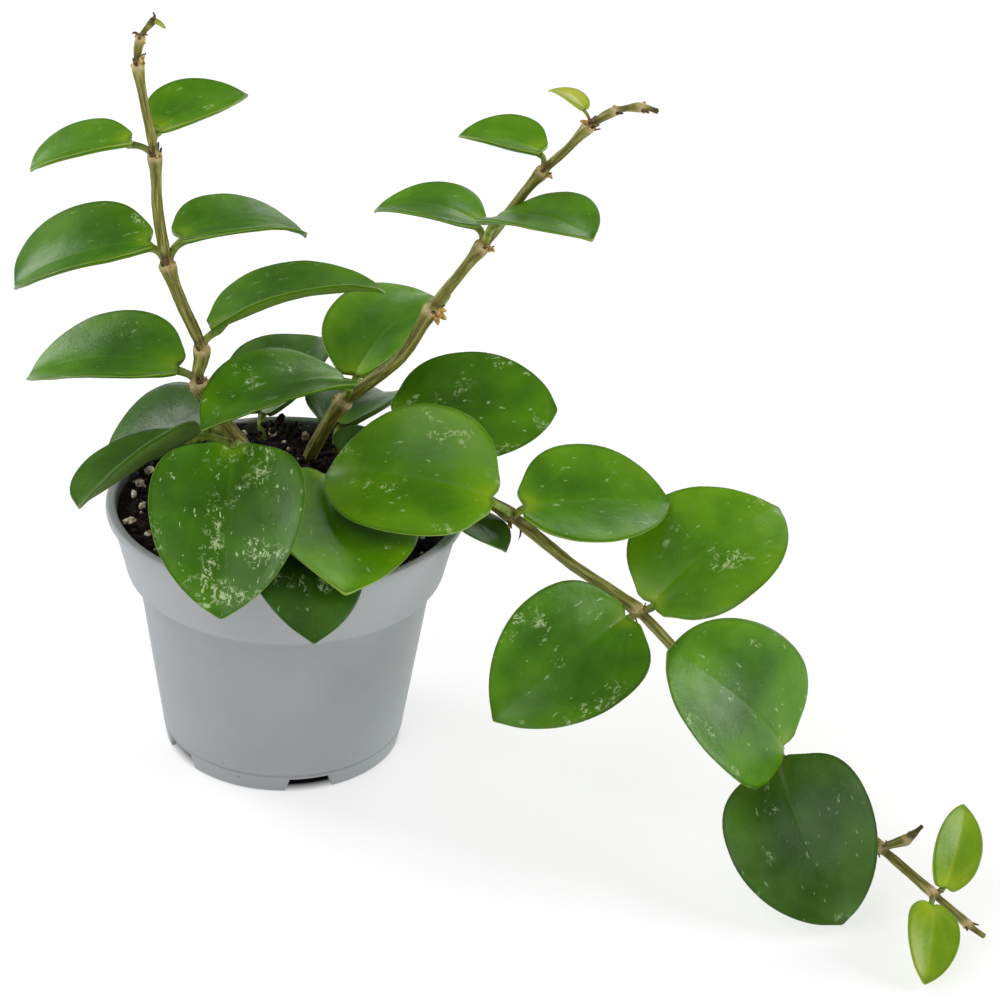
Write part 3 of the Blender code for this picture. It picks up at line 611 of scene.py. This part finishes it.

# Leaves ----------------------------------------------------------------------------------------------
# Thick oval leaves, 1.5 to 6 cm long, in pairs on short fleshy stalks. Each blade is round at its base with a
# shallow notch over the stalk, folded along its midrib, and ends in a small point. The upper side is waxy and
# splashed with pale flecks; the underside is paler and matt.
# Rows repeat the model's values: where the stalk starts, the blade's base, length, width, heading,
# rise, roll, how far it arches, how far its sides curl up, its tip (0.5 blunt, 1 pointed) and its record
# material; then how many flecks it has, from 0 to 1, and how much lighter (+) or darker (-) it is.
# The repeated values aren't hand-chosen: they are rounded results of a separate fitting script, and a few
# were nudged by hand afterwards. The flecks and tones are chosen one by one.
LEAVES = {
    "leaf_left_1": (("stem_left", 10), (-44, 11, 215), 36, 28, 44, 6, 3, 15, 45, 0.7, "leaf_young", 0.35, -0.3),
    "leaf_left_2": (("stem_left", 10), (-52, 7, 212), 33, 28, -172, -17, 0, 28, 35, 0.6, "leaf_young", 0.3, -0.4),
    "leaf_left_3": (("stem_left", 8), (-46, 7, 177), 47, 40, -176, -20, -9, 37, 45, 0.5, "leaf_green", 0.45, 0.1),
    "leaf_left_4": (("stem_left", 8), (-36, 9, 179), 45, 37, 27, -7, -4, 52, 23, 0.7, "leaf_green", 0.2, 0.0),
    "leaf_left_5": (("stem_left", 5), (-37, 4, 135), 54, 45, 169, -13, -6, 42, 33, 0.7, "leaf_green", 0.35, 0.1),
    "leaf_left_6": (("stem_left", 6), (-25, 6, 149), 58, 49, 14, 10, -14, 41, 31, 0.7, "leaf_green", 0.25, 0.1),
    "leaf_left_7": (("stem_left", 3), (-27, 10, 110), 49, 39, 152, -29, -28, 17, 43, 0.7, "leaf_dark", 0.4, 0.0),
    "leaf_left_8": (("stem_left", 3), (-32, 0, 112), 49, 41, -131, -10, 30, 12, 45, 0.6, "leaf_dark", 0.15, 0.3),
    "leaf_left_9": (("stem_left", 3), (-16, -20, 118), 62, 53, -88, -31, 0, 34, 39, 0.7, "leaf_green", 1.0, -0.4),
    "leaf_right_1": (("stem_right", 11), (91, 18, 227), 16, 10, 138, 5, 6, 48, 24, 0.8, "leaf_new", 0.0, 1.0),
    "leaf_right_2": (("stem_right", 9), (78, 22, 210), 29, 25, 157, -1, -3, 23, 41, 0.7, "leaf_young", 0.3, -0.2),
    "leaf_right_3": (("stem_right", 7), (59, 24, 183), 37, 31, 163, -3, 1, 49, 22, 0.7, "leaf_green", 0.2, 0.0),
    "leaf_right_4": (("stem_right", 7), (65, 12, 190), 44, 36, -45, 11, 1, 38, 21, 0.7, "leaf_green", 0.2, 0.0),
    "leaf_right_5": (("stem_right", 3), (20, 31, 122), 54, 43, 62, 10, -6, 42, 48, 0.7, "leaf_young", 0.1, 0.0),
    "leaf_right_6": (("stem_right", 3), (17, 17, 126), 56, 44, -143, -3, 5, 45, 32, 0.8, "leaf_green", 0.6, 0.0),
    "leaf_trailing_1": (("stem_trailing", 2), (34, 25, 110), 55, 45, -1, 7, 29, 25, 8, 0.6, "leaf_green", 0.7,
                        -0.1),
    "leaf_trailing_2": (("stem_trailing", 5), (68, -22, 106), 60, 54, 160, -5, -28, 42, 31, 0.8, "leaf_young", 0.6,
                        0.2),
    "leaf_trailing_3": (("stem_trailing", 4), (58, -12, 95), 24, 20, -48, -8, -10, 10, 15, 0.9, "leaf_dark", 0.0,
                        0.0),
    "leaf_trailing_4": (("stem_trailing", 5), (79, -18, 102), 50, 44, 16, -3, 20, 15, 24, 0.7, "leaf_young", 0.45,
                        -0.3),
    "leaf_trailing_5": (("stem_trailing", 7), (123, -30, 75), 57, 51, 38, 22, 13, 45, 18, 0.8, "leaf_young", 0.4,
                        0.2),
    "leaf_trailing_6": (("stem_trailing", 7), (114, -34, 71), 57, 48, -143, -23, -34, 39, 37, 0.8, "leaf_green",
                        0.6, 0.0),
    "leaf_trailing_7": (("stem_trailing", 9), (166, -63, 44), 57, 51, -168, 44, -50, 42, 27, 0.5, "leaf_green",
                        0.45, 0.1),
    "leaf_trailing_8": (("stem_trailing", 9), (165, -65, 37), 57, 49, -61, -36, 34, 56, 23, 0.7, "leaf_dark",
                        0.5, 0.0),
    "leaf_trailing_9": (("stem_trailing", 12), (219, -94, 14), 29, 17, 74, 37, 29, 39, 27, 0.8, "leaf_new", 0.0,
                        -0.8),
    "leaf_trailing_10": (("stem_trailing", 12), (214, -102, 12), 30, 18, -97, -18, -15, 45, 28, 0.7, "leaf_new",
                         0.0, -0.7),
    "leaf_front_1": (("soil", (9, 6)), (12, 4, 97), 71, 56, -80, -2, -11, 3, 23, 0.7, "leaf_young", 0.4, 0.1),
    "leaf_front_2": (("soil", (2, -26)), (6, -37, 94), 43, 36, -76, -19, -7, 60, 5, 0.8, "leaf_dark", 0.5, -0.6),
    "leaf_back_1": (("soil", (-12, 48)), (-14, 54, 94), 45, 40, 66, 15, -10, 46, 32, 0.9, "leaf_dark", 0.1, 0.0),
    "leaf_back_2": (("soil", (14, 40)), (14, 42, 97), 43, 39, 66, -9, -8, 48, 31, 0.6, "leaf_dark", 0.1, 0.0),
    "leaf_back_3": (("soil", (30, 24)), (27, 26, 97), 15, 12, -171, 18, -51, 30, 14, 0.8, "leaf_dark", 0.0, 0.0),
}
ROOTED_DEPTH = 5.0          # how far a stalk that starts in the soil stands in it
LEAF_THICKNESS = 1.7
STALK_RADIUS = 1.4
WIDEST = 0.43               # where a blade is widest, as a share of its length
BASE_ROWS = 15
TIP_ROWS = 19
COLUMNS = (0.0, 0.02, 0.05, 0.09, 0.15, 0.23, 0.33, 0.44, 0.56, 0.68, 0.79, 0.87, 0.93, 0.97, 0.99, 1.0)
FOLD = 0.1                  # share of the curl that is a crease along the midrib
LOBE = 1.8                  # how far the blade's base stands back beside the stalk
TIP_POINT = 0.6             # how far the tip is drawn out
FULLNESS = 0.86             # 1 makes an elliptical base, and less makes broader shoulders
CREASE = 0.15               # how far the crease reaches out, as a share of the half width
CURL_STEPS = 12             # steps that add up the curl between two columns
STALK_STEPS = 14


def leaf_axes(heading, rise, roll):
    """Unit vectors along the blade's chord, to its left and out of its upper face."""
    forward = Vector((cos(rise) * cos(heading), cos(rise) * sin(heading), sin(rise)))
    left = Vector((-sin(heading), cos(heading), 0))
    upward = forward.cross(left)
    return forward, left * cos(roll) + upward * sin(roll), upward * cos(roll) - left * sin(roll)


def midrib(base, forward, upward, length, bend, share):
    """A place on the arched midrib, the direction ahead along it and the one out of its upper face."""
    slope = bend * (0.5 - share)
    radius = length / bend
    spot = base + forward * radius * (sin(bend / 2) - sin(slope))
    spot += upward * radius * (cos(slope) - cos(bend / 2))
    return spot, forward * cos(slope) + upward * sin(slope), upward * cos(slope) - forward * sin(slope)


def blade_sections(curl):
    """Across, lift and lean at each column for a half width of 1: a crease, then an even curl."""
    columns = [-column for column in COLUMNS[:0:-1]] + list(COLUMNS)
    half = [(0.0, 0.0, 0.0)]
    across = lift = 0.0
    for before, after in zip(COLUMNS, COLUMNS[1:]):
        for step in range(CURL_STEPS):
            v = before + (after - before) * (step + 0.5) / CURL_STEPS
            lean = curl * (FOLD * tanh(v / CREASE) + (1 - 2 * FOLD) * v)
            across += cos(lean) * (after - before) / CURL_STEPS
            lift += sin(lean) * (after - before) / CURL_STEPS
        half.append((across, lift, curl * (FOLD * tanh(after / CREASE) + (1 - 2 * FOLD) * after)))
    mirrored = [(-across, lift, -lean) for across, lift, lean in half[:0:-1]]
    return list(zip(columns, mirrored + half))


def blade_rows(taper):
    """Share along the blade, half width as a share of the widest, and closeness to an end, row by row."""
    rows = []
    for step in range(BASE_ROWS):
        turn = pi / 2 * step / BASE_ROWS
        rows.append((WIDEST * (1 - cos(turn) ** FULLNESS), sin(turn) ** FULLNESS, max(0.0, 1 - turn / 0.45)))
    for step in range(TIP_ROWS + 1):
        turn = pi / 2 * step / TIP_ROWS
        rows.append((WIDEST + (1 - WIDEST) * sin(turn), max(0.0, cos(turn)) ** (2 * taper),
                     max(0.0, 1 - (pi / 2 - turn) / 0.35)))
    return rows


def add_blade(mesh_data, base, length, width, heading, rise, roll, arch, cup, taper, seed):
    """Add a blade as one closed fleshy shell with a rounded margin."""
    place = mesh_data.verts.layers.float_vector.new("blade")
    forward, left, upward = leaf_axes(radians(heading), radians(rise), radians(roll))
    bend, curl = radians(arch), radians(cup)
    sections, size = blade_sections(curl), min(1.0, length / 45)
    grids = ([], [])
    for share, half, end in blade_rows(taper):
        centre, ahead, normal = midrib(base, forward, upward, length, bend, share)
        half_width = width / 2 * half
        for side, grid in zip((1, -1), grids):
            row = []
            for v, (across, lift, lean) in sections:
                y = half_width * across
                lobe = (y / (5 * size)) ** 2
                shift = -LOBE * size * lobe * exp(1 - lobe) * max(0.0, 1 - share / 0.3) ** 2
                shift += TIP_POINT * size * max(0.0, (share - 0.9) / 0.1) ** 2 * exp(-(y / (2.2 * size)) ** 2)
                spot = centre + left * y + normal * half_width * lift + ahead * shift
                spot -= normal * 0.6 * size * max(0.0, (share - 0.94) / 0.06) ** 2
                out = normal * cos(lean) - left * sin(lean)
                thick = LEAF_THICKNESS / 2 * (1.35 - 0.75 * share) * size ** 0.5
                thick *= sqrt(max(0.0, 1 - abs(v) ** 10)) * sqrt(max(0.0, 1 - end ** 8))
                wave = noise.noise(spot / 15 + Vector((seed, 0, 0))) + 0.4 * noise.noise(spot / 6)
                spot += out * (side * thick + 0.45 * size * wave)
                if side > 0:
                    spot -= out * 0.35 * size * exp(-(y / 0.9) ** 2) * (1 - share) * (1 - end)
                else:
                    spot -= out * 0.7 * size * exp(-(y / 1.2) ** 2) * (1 - share) ** 2 * (1 - end)
                vertex = mesh_data.verts.new(spot)
                edge = min((1 - abs(v)) * half_width, share * length + 0.15, (1 - share) * length * 0.5)
                vertex[place] = (share * length, v * half_width, side * edge)
                row.append(vertex)
            grid.append(row)
    for side, grid in zip((1, -1), grids):
        for low, high in zip(grid, grid[1:]):
            for column in range(len(low) - 1):
                corners = (low[column], high[column], high[column + 1], low[column + 1])
                mesh_data.faces.new(corners if side > 0 else corners[::-1])


def stalk_path(source, place, base, length, heading, rise, roll, arch):
    """The stalk's centre line from its joint or the soil to the underside of the blade's base."""
    stalk = STALK_RADIUS * min(1.0, length / 40)
    if source == "soil":
        x, y = place
        start, outward = Vector((x, y, soil_height(sqrt(x * x + y * y)) - ROOTED_DEPTH)), Vector((0, 0, 1))
    else:
        start = Vector(VINES[source][place][:3])
        up_vine = (Vector(VINES[source][place + 1][:3]) - start).normalized()
        outward = ((base - start).normalized() + up_vine * 0.5).normalized()
    forward, left, upward = leaf_axes(radians(heading), radians(rise), radians(roll))
    _, ahead, normal = midrib(base, forward, upward, length, radians(arch), 0.0)
    end = base - normal * stalk * 1.05 + ahead * 0.6
    reach = (end - start).length * 0.4
    first, last = start + outward * reach, end - ahead * reach
    path = []
    for step in range(STALK_STEPS):
        share = step / (STALK_STEPS - 1)
        rest = 1 - share
        path.append(start * rest ** 3 + first * 3 * rest * rest * share + last * 3 * rest * share ** 2
                    + end * share ** 3)
    radii = [stalk * (1.12 - 0.2 * sin(pi * step / (STALK_STEPS - 1))) for step in range(STALK_STEPS)]
    for share, thinner in ((0.03, 0.85), (0.06, 0.6), (0.1, 0.3)):
        spot, _, normal = midrib(base, forward, upward, length, radians(arch), share)
        path.append(spot - normal * (stalk * thinner + 0.35))
        radii.append(stalk * thinner)
    return path, radii, left


def waxy_leaf(name, deep, mid, light, spot, crest_highlight, fleck, under):
    """Leaf tissue under wax, made once for each age of leaf, and once as a darker copy with painted shade."""
    made, tree, shader = new_material(name, 0.36, 1.45)
    blade = add_node(tree, "Attribute", attribute_name="blade")["Vector"]
    seed = add_node(tree, "Attribute", attribute_name="seed", attribute_type="OBJECT")["Fac"]
    flecks = add_node(tree, "Attribute", attribute_name="flecks", attribute_type="OBJECT")["Fac"]
    tone = add_node(tree, "Attribute", attribute_name="tone", attribute_type="OBJECT")["Fac"]
    parts = add_node(tree, "SeparateXYZ", {0: blade})
    flat = add_node(tree, "CombineXYZ", {0: parts["X"], 1: parts["Y"], 2: seed})[0]
    aside = add_node(tree, "Math", {0: parts["Y"]}, operation="ABSOLUTE")[0]
    half = add_node(tree, "Math", {0: parts["Y"], 1: 0.0}, operation="GREATER_THAN")[0]
    half = add_node(tree, "Math", {0: half, 1: 17.0, 2: seed}, operation="MULTIPLY_ADD")[0]
    mirrored = add_node(tree, "CombineXYZ", {0: parts["X"], 1: aside, 2: half})[0]
    distance = add_node(tree, "Math", {0: parts["Z"]}, operation="ABSOLUTE")[0]
    upper = add_node(tree, "Math", {0: parts["Z"], 1: -1.4}, operation="GREATER_THAN")[0]

    # Soft clouds of about 14 mm, a little fine mottling, and a lighter zone towards the margin.
    broad = add_node(tree, "TexNoise", {"Vector": flat, "Scale": 1 / 14, "Detail": 1.0})["Fac"]
    fine = add_node(tree, "TexNoise", {"Vector": flat, "Scale": 1 / 3.5, "Detail": 4.0})["Fac"]
    mottle = add_node(tree, "Math", {0: fine, 1: 0.22, 2: broad}, operation="MULTIPLY_ADD")[0]
    mottle = add_node(tree, "Math", {0: mottle, 1: 0.5, 2: 0.36}, operation="MULTIPLY_ADD")[0]
    mottle = add_node(tree, "Math", {0: tone, 1: 0.22, 2: mottle}, operation="MULTIPLY_ADD")[0]
    outer = add_node(tree, "MapRange", {"Value": distance, 1: 1.0, 2: 16.0, 3: 0.16, 4: -0.04})[0]
    mottle = add_node(tree, "Math", {0: mottle, 1: outer}, operation="ADD")[0]
    colour = add_node(tree, "ValToRGB", {"Fac": mottle},
                      stops=((0.42, deep), (0.68, mid), (0.95, light)))["Color"]

    # A soft yellow-green glow over the stalk.
    squares = add_node(tree, "VectorMath", {0: flat, 1: (1, 1, 0)}, operation="MULTIPLY")[0]
    reach = add_node(tree, "VectorMath", {0: squares}, operation="LENGTH")["Value"]
    glow = add_node(tree, "MapRange", {"Value": reach, 1: 0.5, 2: 8.0, 3: 0.6, 4: 0.0},
                    interpolation_type="SMOOTHSTEP")[0]
    colour = add_node(tree, "Mix", {0: glow, 6: colour, 7: linear(spot)}, data_type="RGBA")[2]

    # Faint veins: the midrib, and side veins that ray out from the base.
    angle = add_node(tree, "Math", {0: parts["Y"], 1: parts["X"]}, operation="ARCTAN2")[0]
    fan = add_node(tree, "CombineXYZ", {0: angle, 1: seed})[0]
    rays = add_node(tree, "TexNoise", {"Vector": fan, "Scale": 5.0, "Detail": 1.0})["Fac"]
    rib = add_node(tree, "MapRange", {"Value": aside, 1: 0.1, 2: 1.2, 3: 0.3, 4: 0.0})[0]
    vein = add_node(tree, "MapRange", {"Value": rays, 1: 0.5, 2: 0.7, 3: 0.0, 4: 0.2})[0]
    fade = add_node(tree, "MapRange", {"Value": reach, 1: 6.0, 2: 38.0, 3: 1.0, 4: 0.0})[0]
    vein = add_node(tree, "Math", {0: rib, 1: vein}, operation="MAXIMUM")[0]
    vein = add_node(tree, "Math", {0: vein, 1: fade}, operation="MULTIPLY")[0]
    colour = add_node(tree, "Mix", {0: vein, 6: colour, 7: linear(light)}, data_type="RGBA")[2]

    # Pale flecks in clusters of about 15 mm: curled fine lines, blots, and strokes that lean like side veins.
    cluster = add_node(tree, "TexNoise", {"Vector": flat, "Scale": 1 / 13, "Detail": 3.0})["Fac"]
    least = add_node(tree, "MapRange", {"Value": flecks, 1: 0.0, 2: 1.0, 3: 0.72, 4: 0.49})[0]
    cluster = add_node(tree, "Math", {0: cluster, 1: least}, operation="SUBTRACT")[0]
    cluster = add_node(tree, "MapRange", {"Value": cluster, 1: 0.0, 2: 0.08, 3: 0.0, 4: 1.0})[0]
    curls = add_node(tree, "TexNoise", {"Vector": flat, "Scale": 1 / 3.6, "Detail": 2.0,
                                        "Distortion": 1.6})["Fac"]
    curls = add_node(tree, "Math", {0: curls, 1: 0.5}, operation="SUBTRACT")[0]
    curls = add_node(tree, "Math", {0: curls}, operation="ABSOLUTE")[0]
    curls = add_node(tree, "MapRange", {"Value": curls, 1: 0.025, 2: 0.055, 3: 1.0, 4: 0.0})[0]
    broken = add_node(tree, "MapRange", {"Value": fine, 1: 0.5, 2: 0.56, 3: 0.0, 4: 1.0})[0]
    curls = add_node(tree, "Math", {0: curls, 1: broken}, operation="MULTIPLY")[0]
    blot = add_node(tree, "TexNoise", {"Vector": flat, "Scale": 1 / 2.8, "Detail": 4.0, "Roughness": 0.65,
                                       "Distortion": 0.8})["Fac"]
    blot = add_node(tree, "MapRange", {"Value": blot, 1: 0.61, 2: 0.65, 3: 0.0, 4: 1.0})[0]
    slanted = add_node(tree, "Mapping", {"Vector": mirrored, "Rotation": (0, 0, -0.7),
                                         "Scale": (0.45, 1, 1)})[0]
    stroke = add_node(tree, "TexNoise", {"Vector": slanted, "Scale": 1 / 1.7, "Detail": 3.0,
                                         "Distortion": 0.4})["Fac"]
    stroke = add_node(tree, "MapRange", {"Value": stroke, 1: 0.64, 2: 0.68, 3: 0.0, 4: 1.0})[0]
    marks = add_node(tree, "Math", {0: curls, 1: blot}, operation="MAXIMUM")[0]
    marks = add_node(tree, "Math", {0: marks, 1: stroke}, operation="MAXIMUM")[0]
    marks = add_node(tree, "Math", {0: marks, 1: cluster}, operation="MULTIPLY")[0]

    # A few single dots and dashes between the clusters.
    lone = add_node(tree, "TexNoise", {"Vector": slanted, "Scale": 1 / 1.9, "Detail": 3.0})["Fac"]
    lone = add_node(tree, "MapRange", {"Value": lone, 1: 0.68, 2: 0.71, 3: 0.0, 4: 1.0})[0]
    lone = add_node(tree, "Math", {0: lone, 1: flecks}, operation="MULTIPLY", use_clamp=True)[0]
    marks = add_node(tree, "Math", {0: marks, 1: lone}, operation="MAXIMUM")[0]
    marks = add_node(tree, "Math", {0: marks, 1: 0.75}, operation="MULTIPLY")[0]
    colour = add_node(tree, "Mix", {0: marks, 6: colour, 7: linear(fleck)}, data_type="RGBA")[2]

    # A dark line just inside the margin, and a hair-fine painted highlight on its crest.
    inner = add_node(tree, "MapRange", {"Value": distance, 1: 0.4, 2: 1.5, 3: 0.5, 4: 0.0})[0]
    colour = add_node(tree, "Mix", {0: inner, 6: colour, 7: linear(deep)}, data_type="RGBA")[2]
    below = add_node(tree, "Mix", {0: upper, 6: linear(under), 7: colour}, data_type="RGBA")[2]
    # Painted highlight: the pale line on the margin's crest stands for light caught by the rounded edge.
    crest_highlight_share = add_node(tree, "MapRange", {"Value": distance, 1: 0.04, 2: 0.16, 3: 0.6, 4: 0.0})[0]
    colour = add_node(tree, "Mix", {0: crest_highlight_share, 6: below, 7: linear(crest_highlight)}, data_type="RGBA")[2]
    tree.links.new(colour, shader["Base Color"])

    # The wax is slightly uneven, with duller patches, and the underside is duller still.
    pebble = add_node(tree, "TexNoise", {"Vector": flat, "Scale": 1 / 1.2, "Detail": 3.0})["Fac"]
    relief = add_node(tree, "Math", {0: fine, 1: 1.5, 2: pebble}, operation="MULTIPLY_ADD")[0]
    skin = add_node(tree, "Bump", {"Height": relief, "Strength": 0.5, "Distance": 0.16 * MM})["Normal"]
    tree.links.new(skin, shader["Normal"])
    gloss = add_node(tree, "MapRange", {"Value": fine, 1: 0.35, 2: 0.65, 3: 0.32, 4: 0.42})[0]
    dull = add_node(tree, "Mix", {0: upper, 2: 0.6, 3: gloss}, data_type="FLOAT")[0]
    tree.links.new(dull, shader["Roughness"])
    return made


# Waxy leaf tissue in four copies: full-grown, a darker copy with painted shade for leaves that lie under others,
# young and newly opened. Older leaves are deeper and bluer green, and new ones are lime, paler still from painted
# light that stands for light coming through them.
LEAF_SKINS = {
    "leaf_green": waxy_leaf("waxy_leaf_full_grown", "#2B5200", "#417400", "#5E9400", "#87AA0C", "#93AE38",
                            "#C8DCA2", "#66862A"),
    # Painted shade: a darker copy of the leaf tissue for leaves that lie in the shade of others.
    "leaf_dark": waxy_leaf("waxy_leaf_painted_shade", "#213F04", "#335A0C", "#4F7A22", "#6A8A1C", "#728E3A",
                           "#B4CA9E", "#5C7A32"),
    "leaf_young": waxy_leaf("waxy_leaf_young", "#376600", "#508600", "#70A400", "#98B80C", "#A4BC38",
                            "#CCE09C", "#72942A"),
    "leaf_new": waxy_leaf("waxy_leaf_newly_opened", "#547E00", "#7AA000", "#B8C030", "#A8C020", "#B6C640",
                          "#D6E2A0", "#86A224"),
}

# Leaf stalk: fleshy and smooth, yellow-green with a brown corky foot.
stalk_skin, tree, shader = new_material("fleshy_leaf_stalk", 0.42, 1.42)
place = add_node(tree, "TexCoord")["Object"]
parts = add_node(tree, "SeparateXYZ", {0: add_node(tree, "Attribute", attribute_name="run")["Vector"]})
tint = add_node(tree, "TexNoise", {"Vector": place, "Scale": 1 / (2.4 * MM), "Detail": 3.0})["Fac"]
colour = add_node(tree, "ValToRGB", {"Fac": tint},
                  stops=((0.32, "#5C7420"), (0.5, "#7B9230"), (0.7, "#9CA94A")))["Color"]
foot = add_node(tree, "MapRange", {"Value": parts["X"], 1: 2.2, 2: 4.2, 3: 0.9, 4: 0.0})[0]
colour = add_node(tree, "Mix", {0: foot, 6: colour, 7: linear("#8A7448")}, data_type="RGBA")[2]
tree.links.new(colour, shader["Base Color"])
skin = add_node(tree, "Bump", {"Height": tint, "Strength": 0.4, "Distance": 0.3 * MM})["Normal"]
tree.links.new(skin, shader["Normal"])

for number, (name, row) in enumerate(LEAVES.items()):
    (source, place), base, length, width, heading, rise, roll, arch, cup, taper, slot, flecks, tone = row
    leaf = bmesh.new()
    add_blade(leaf, Vector(base), length, width, heading, rise, roll, arch, cup, taper, number * 7.3)
    path, radii, left = stalk_path(source, place, Vector(base), length, heading, rise, roll, arch)
    add_tube(leaf, path, radii, 12, surface=1, first_side=left)
    leaf = finish_mesh(name + "_blade", leaf, [LEAF_SKINS[slot], stalk_skin], sharp=75)
    leaf["seed"], leaf["flecks"], leaf["tone"] = number * 31.7, float(flecks), float(tone)
    settle(leaf, slot, name)

# Studio ----------------------------------------------------------------------------------------------
# A white table lit softly from above, from behind and from the front left, and the camera.
TABLE_RADIUS = 6.0          # metres
table = bmesh.new()
bmesh.ops.create_circle(table, cap_ends=True, segments=64, radius=TABLE_RADIUS / MM)
paper, tree, shader = new_material("white_studio_table", 0.9, 1.3)
place = add_node(tree, "TexCoord")["Object"]
from_pot = add_node(tree, "VectorMath", {0: place}, operation="LENGTH")["Value"]
# Painted shadow: under the pot and its foot ring the table is dark grey and gives no light.
outside_painted_shadow = add_node(tree, "MapRange", {"Value": from_pot, 1: 36 * MM, 2: 41 * MM})[0]
colour = add_node(tree, "Mix", {0: outside_painted_shadow, 6: linear("#303030"), 7: linear("#B8B8B8")},
                  data_type="RGBA")[2]
tree.links.new(colour, shader["Base Color"])
lit = add_node(tree, "Math", {0: outside_painted_shadow, 1: 0.6}, operation="MULTIPLY")[0]
shader["Emission Color"].default_value = linear("#FFFFFF")
tree.links.new(lit, shader["Emission Strength"])
table = finish_mesh("studio_table", table, [paper])

world = bpy.data.worlds.new("studio_room")
bpy.context.scene.world = world
world.use_nodes = True
tree = world.node_tree
ray = add_node(tree, "LightPath")["Is Glossy Ray"]
dim = add_node(tree, "MapRange", {"Value": ray, 1: 0.0, 2: 1.0, 3: 0.42, 4: 0.12})[0]
sky = tree.nodes["Background"]
sky.inputs["Color"].default_value = linear("#FFFFFF")
tree.links.new(dim, sky.inputs["Strength"])


def add_softbox(name, spot, target, size, watts):
    """A square area light at spot, in metres, aimed at target."""
    light = bpy.data.lights.new(name, "AREA")
    light.size = size
    light.energy = watts
    made = bpy.data.objects.new(name, light)
    bpy.context.scene.collection.objects.link(made)
    made.location = spot
    made.rotation_euler = (Vector(target) - Vector(spot)).to_track_quat("-Z", "Y").to_euler()


add_softbox("softbox_back_left", (-1.1, 0.5, 0.8), (0.05, 0, 0.1), 0.7, 9)
add_softbox("softbox_front_left", (-0.8, -0.9, 1.3), (0.05, 0, 0.1), 1.4, 9)
add_softbox("softbox_back", (0.5, 1.5, 0.9), (0.1, 0, 0.1), 0.6, 3.5)
add_softbox("softbox_right", (1.3, -0.1, 0.6), (0.05, 0, 0.1), 0.7, 8)

# The camera's place, dip, roll and lens are rounded results of a separate fitting script too.
CAMERA_DIP = radians(28.8)  # how far the camera looks down
CAMERA_ROLL = 0.0544        # radians
CAMERA_PLACE = (0.071, -0.875, 0.575)   # metres
gaze = Vector((0, cos(CAMERA_DIP), -sin(CAMERA_DIP)))
level = Vector((1, 0, 0))
upright = level.cross(gaze)
across = level * cos(CAMERA_ROLL) + upright * sin(CAMERA_ROLL)
upright = upright * cos(CAMERA_ROLL) - level * sin(CAMERA_ROLL)
camera = bpy.data.objects.new("camera", bpy.data.cameras.new("camera"))
bpy.context.scene.collection.objects.link(camera)
turned = Matrix((across, upright, -gaze)).transposed().to_4x4()
camera.matrix_world = Matrix.Translation(CAMERA_PLACE) @ turned
camera.data.lens, camera.data.sensor_width, camera.data.clip_end = 108, 36, 30
bpy.context.scene.camera = camera
bpy.context.scene.view_settings.view_transform = "Standard"
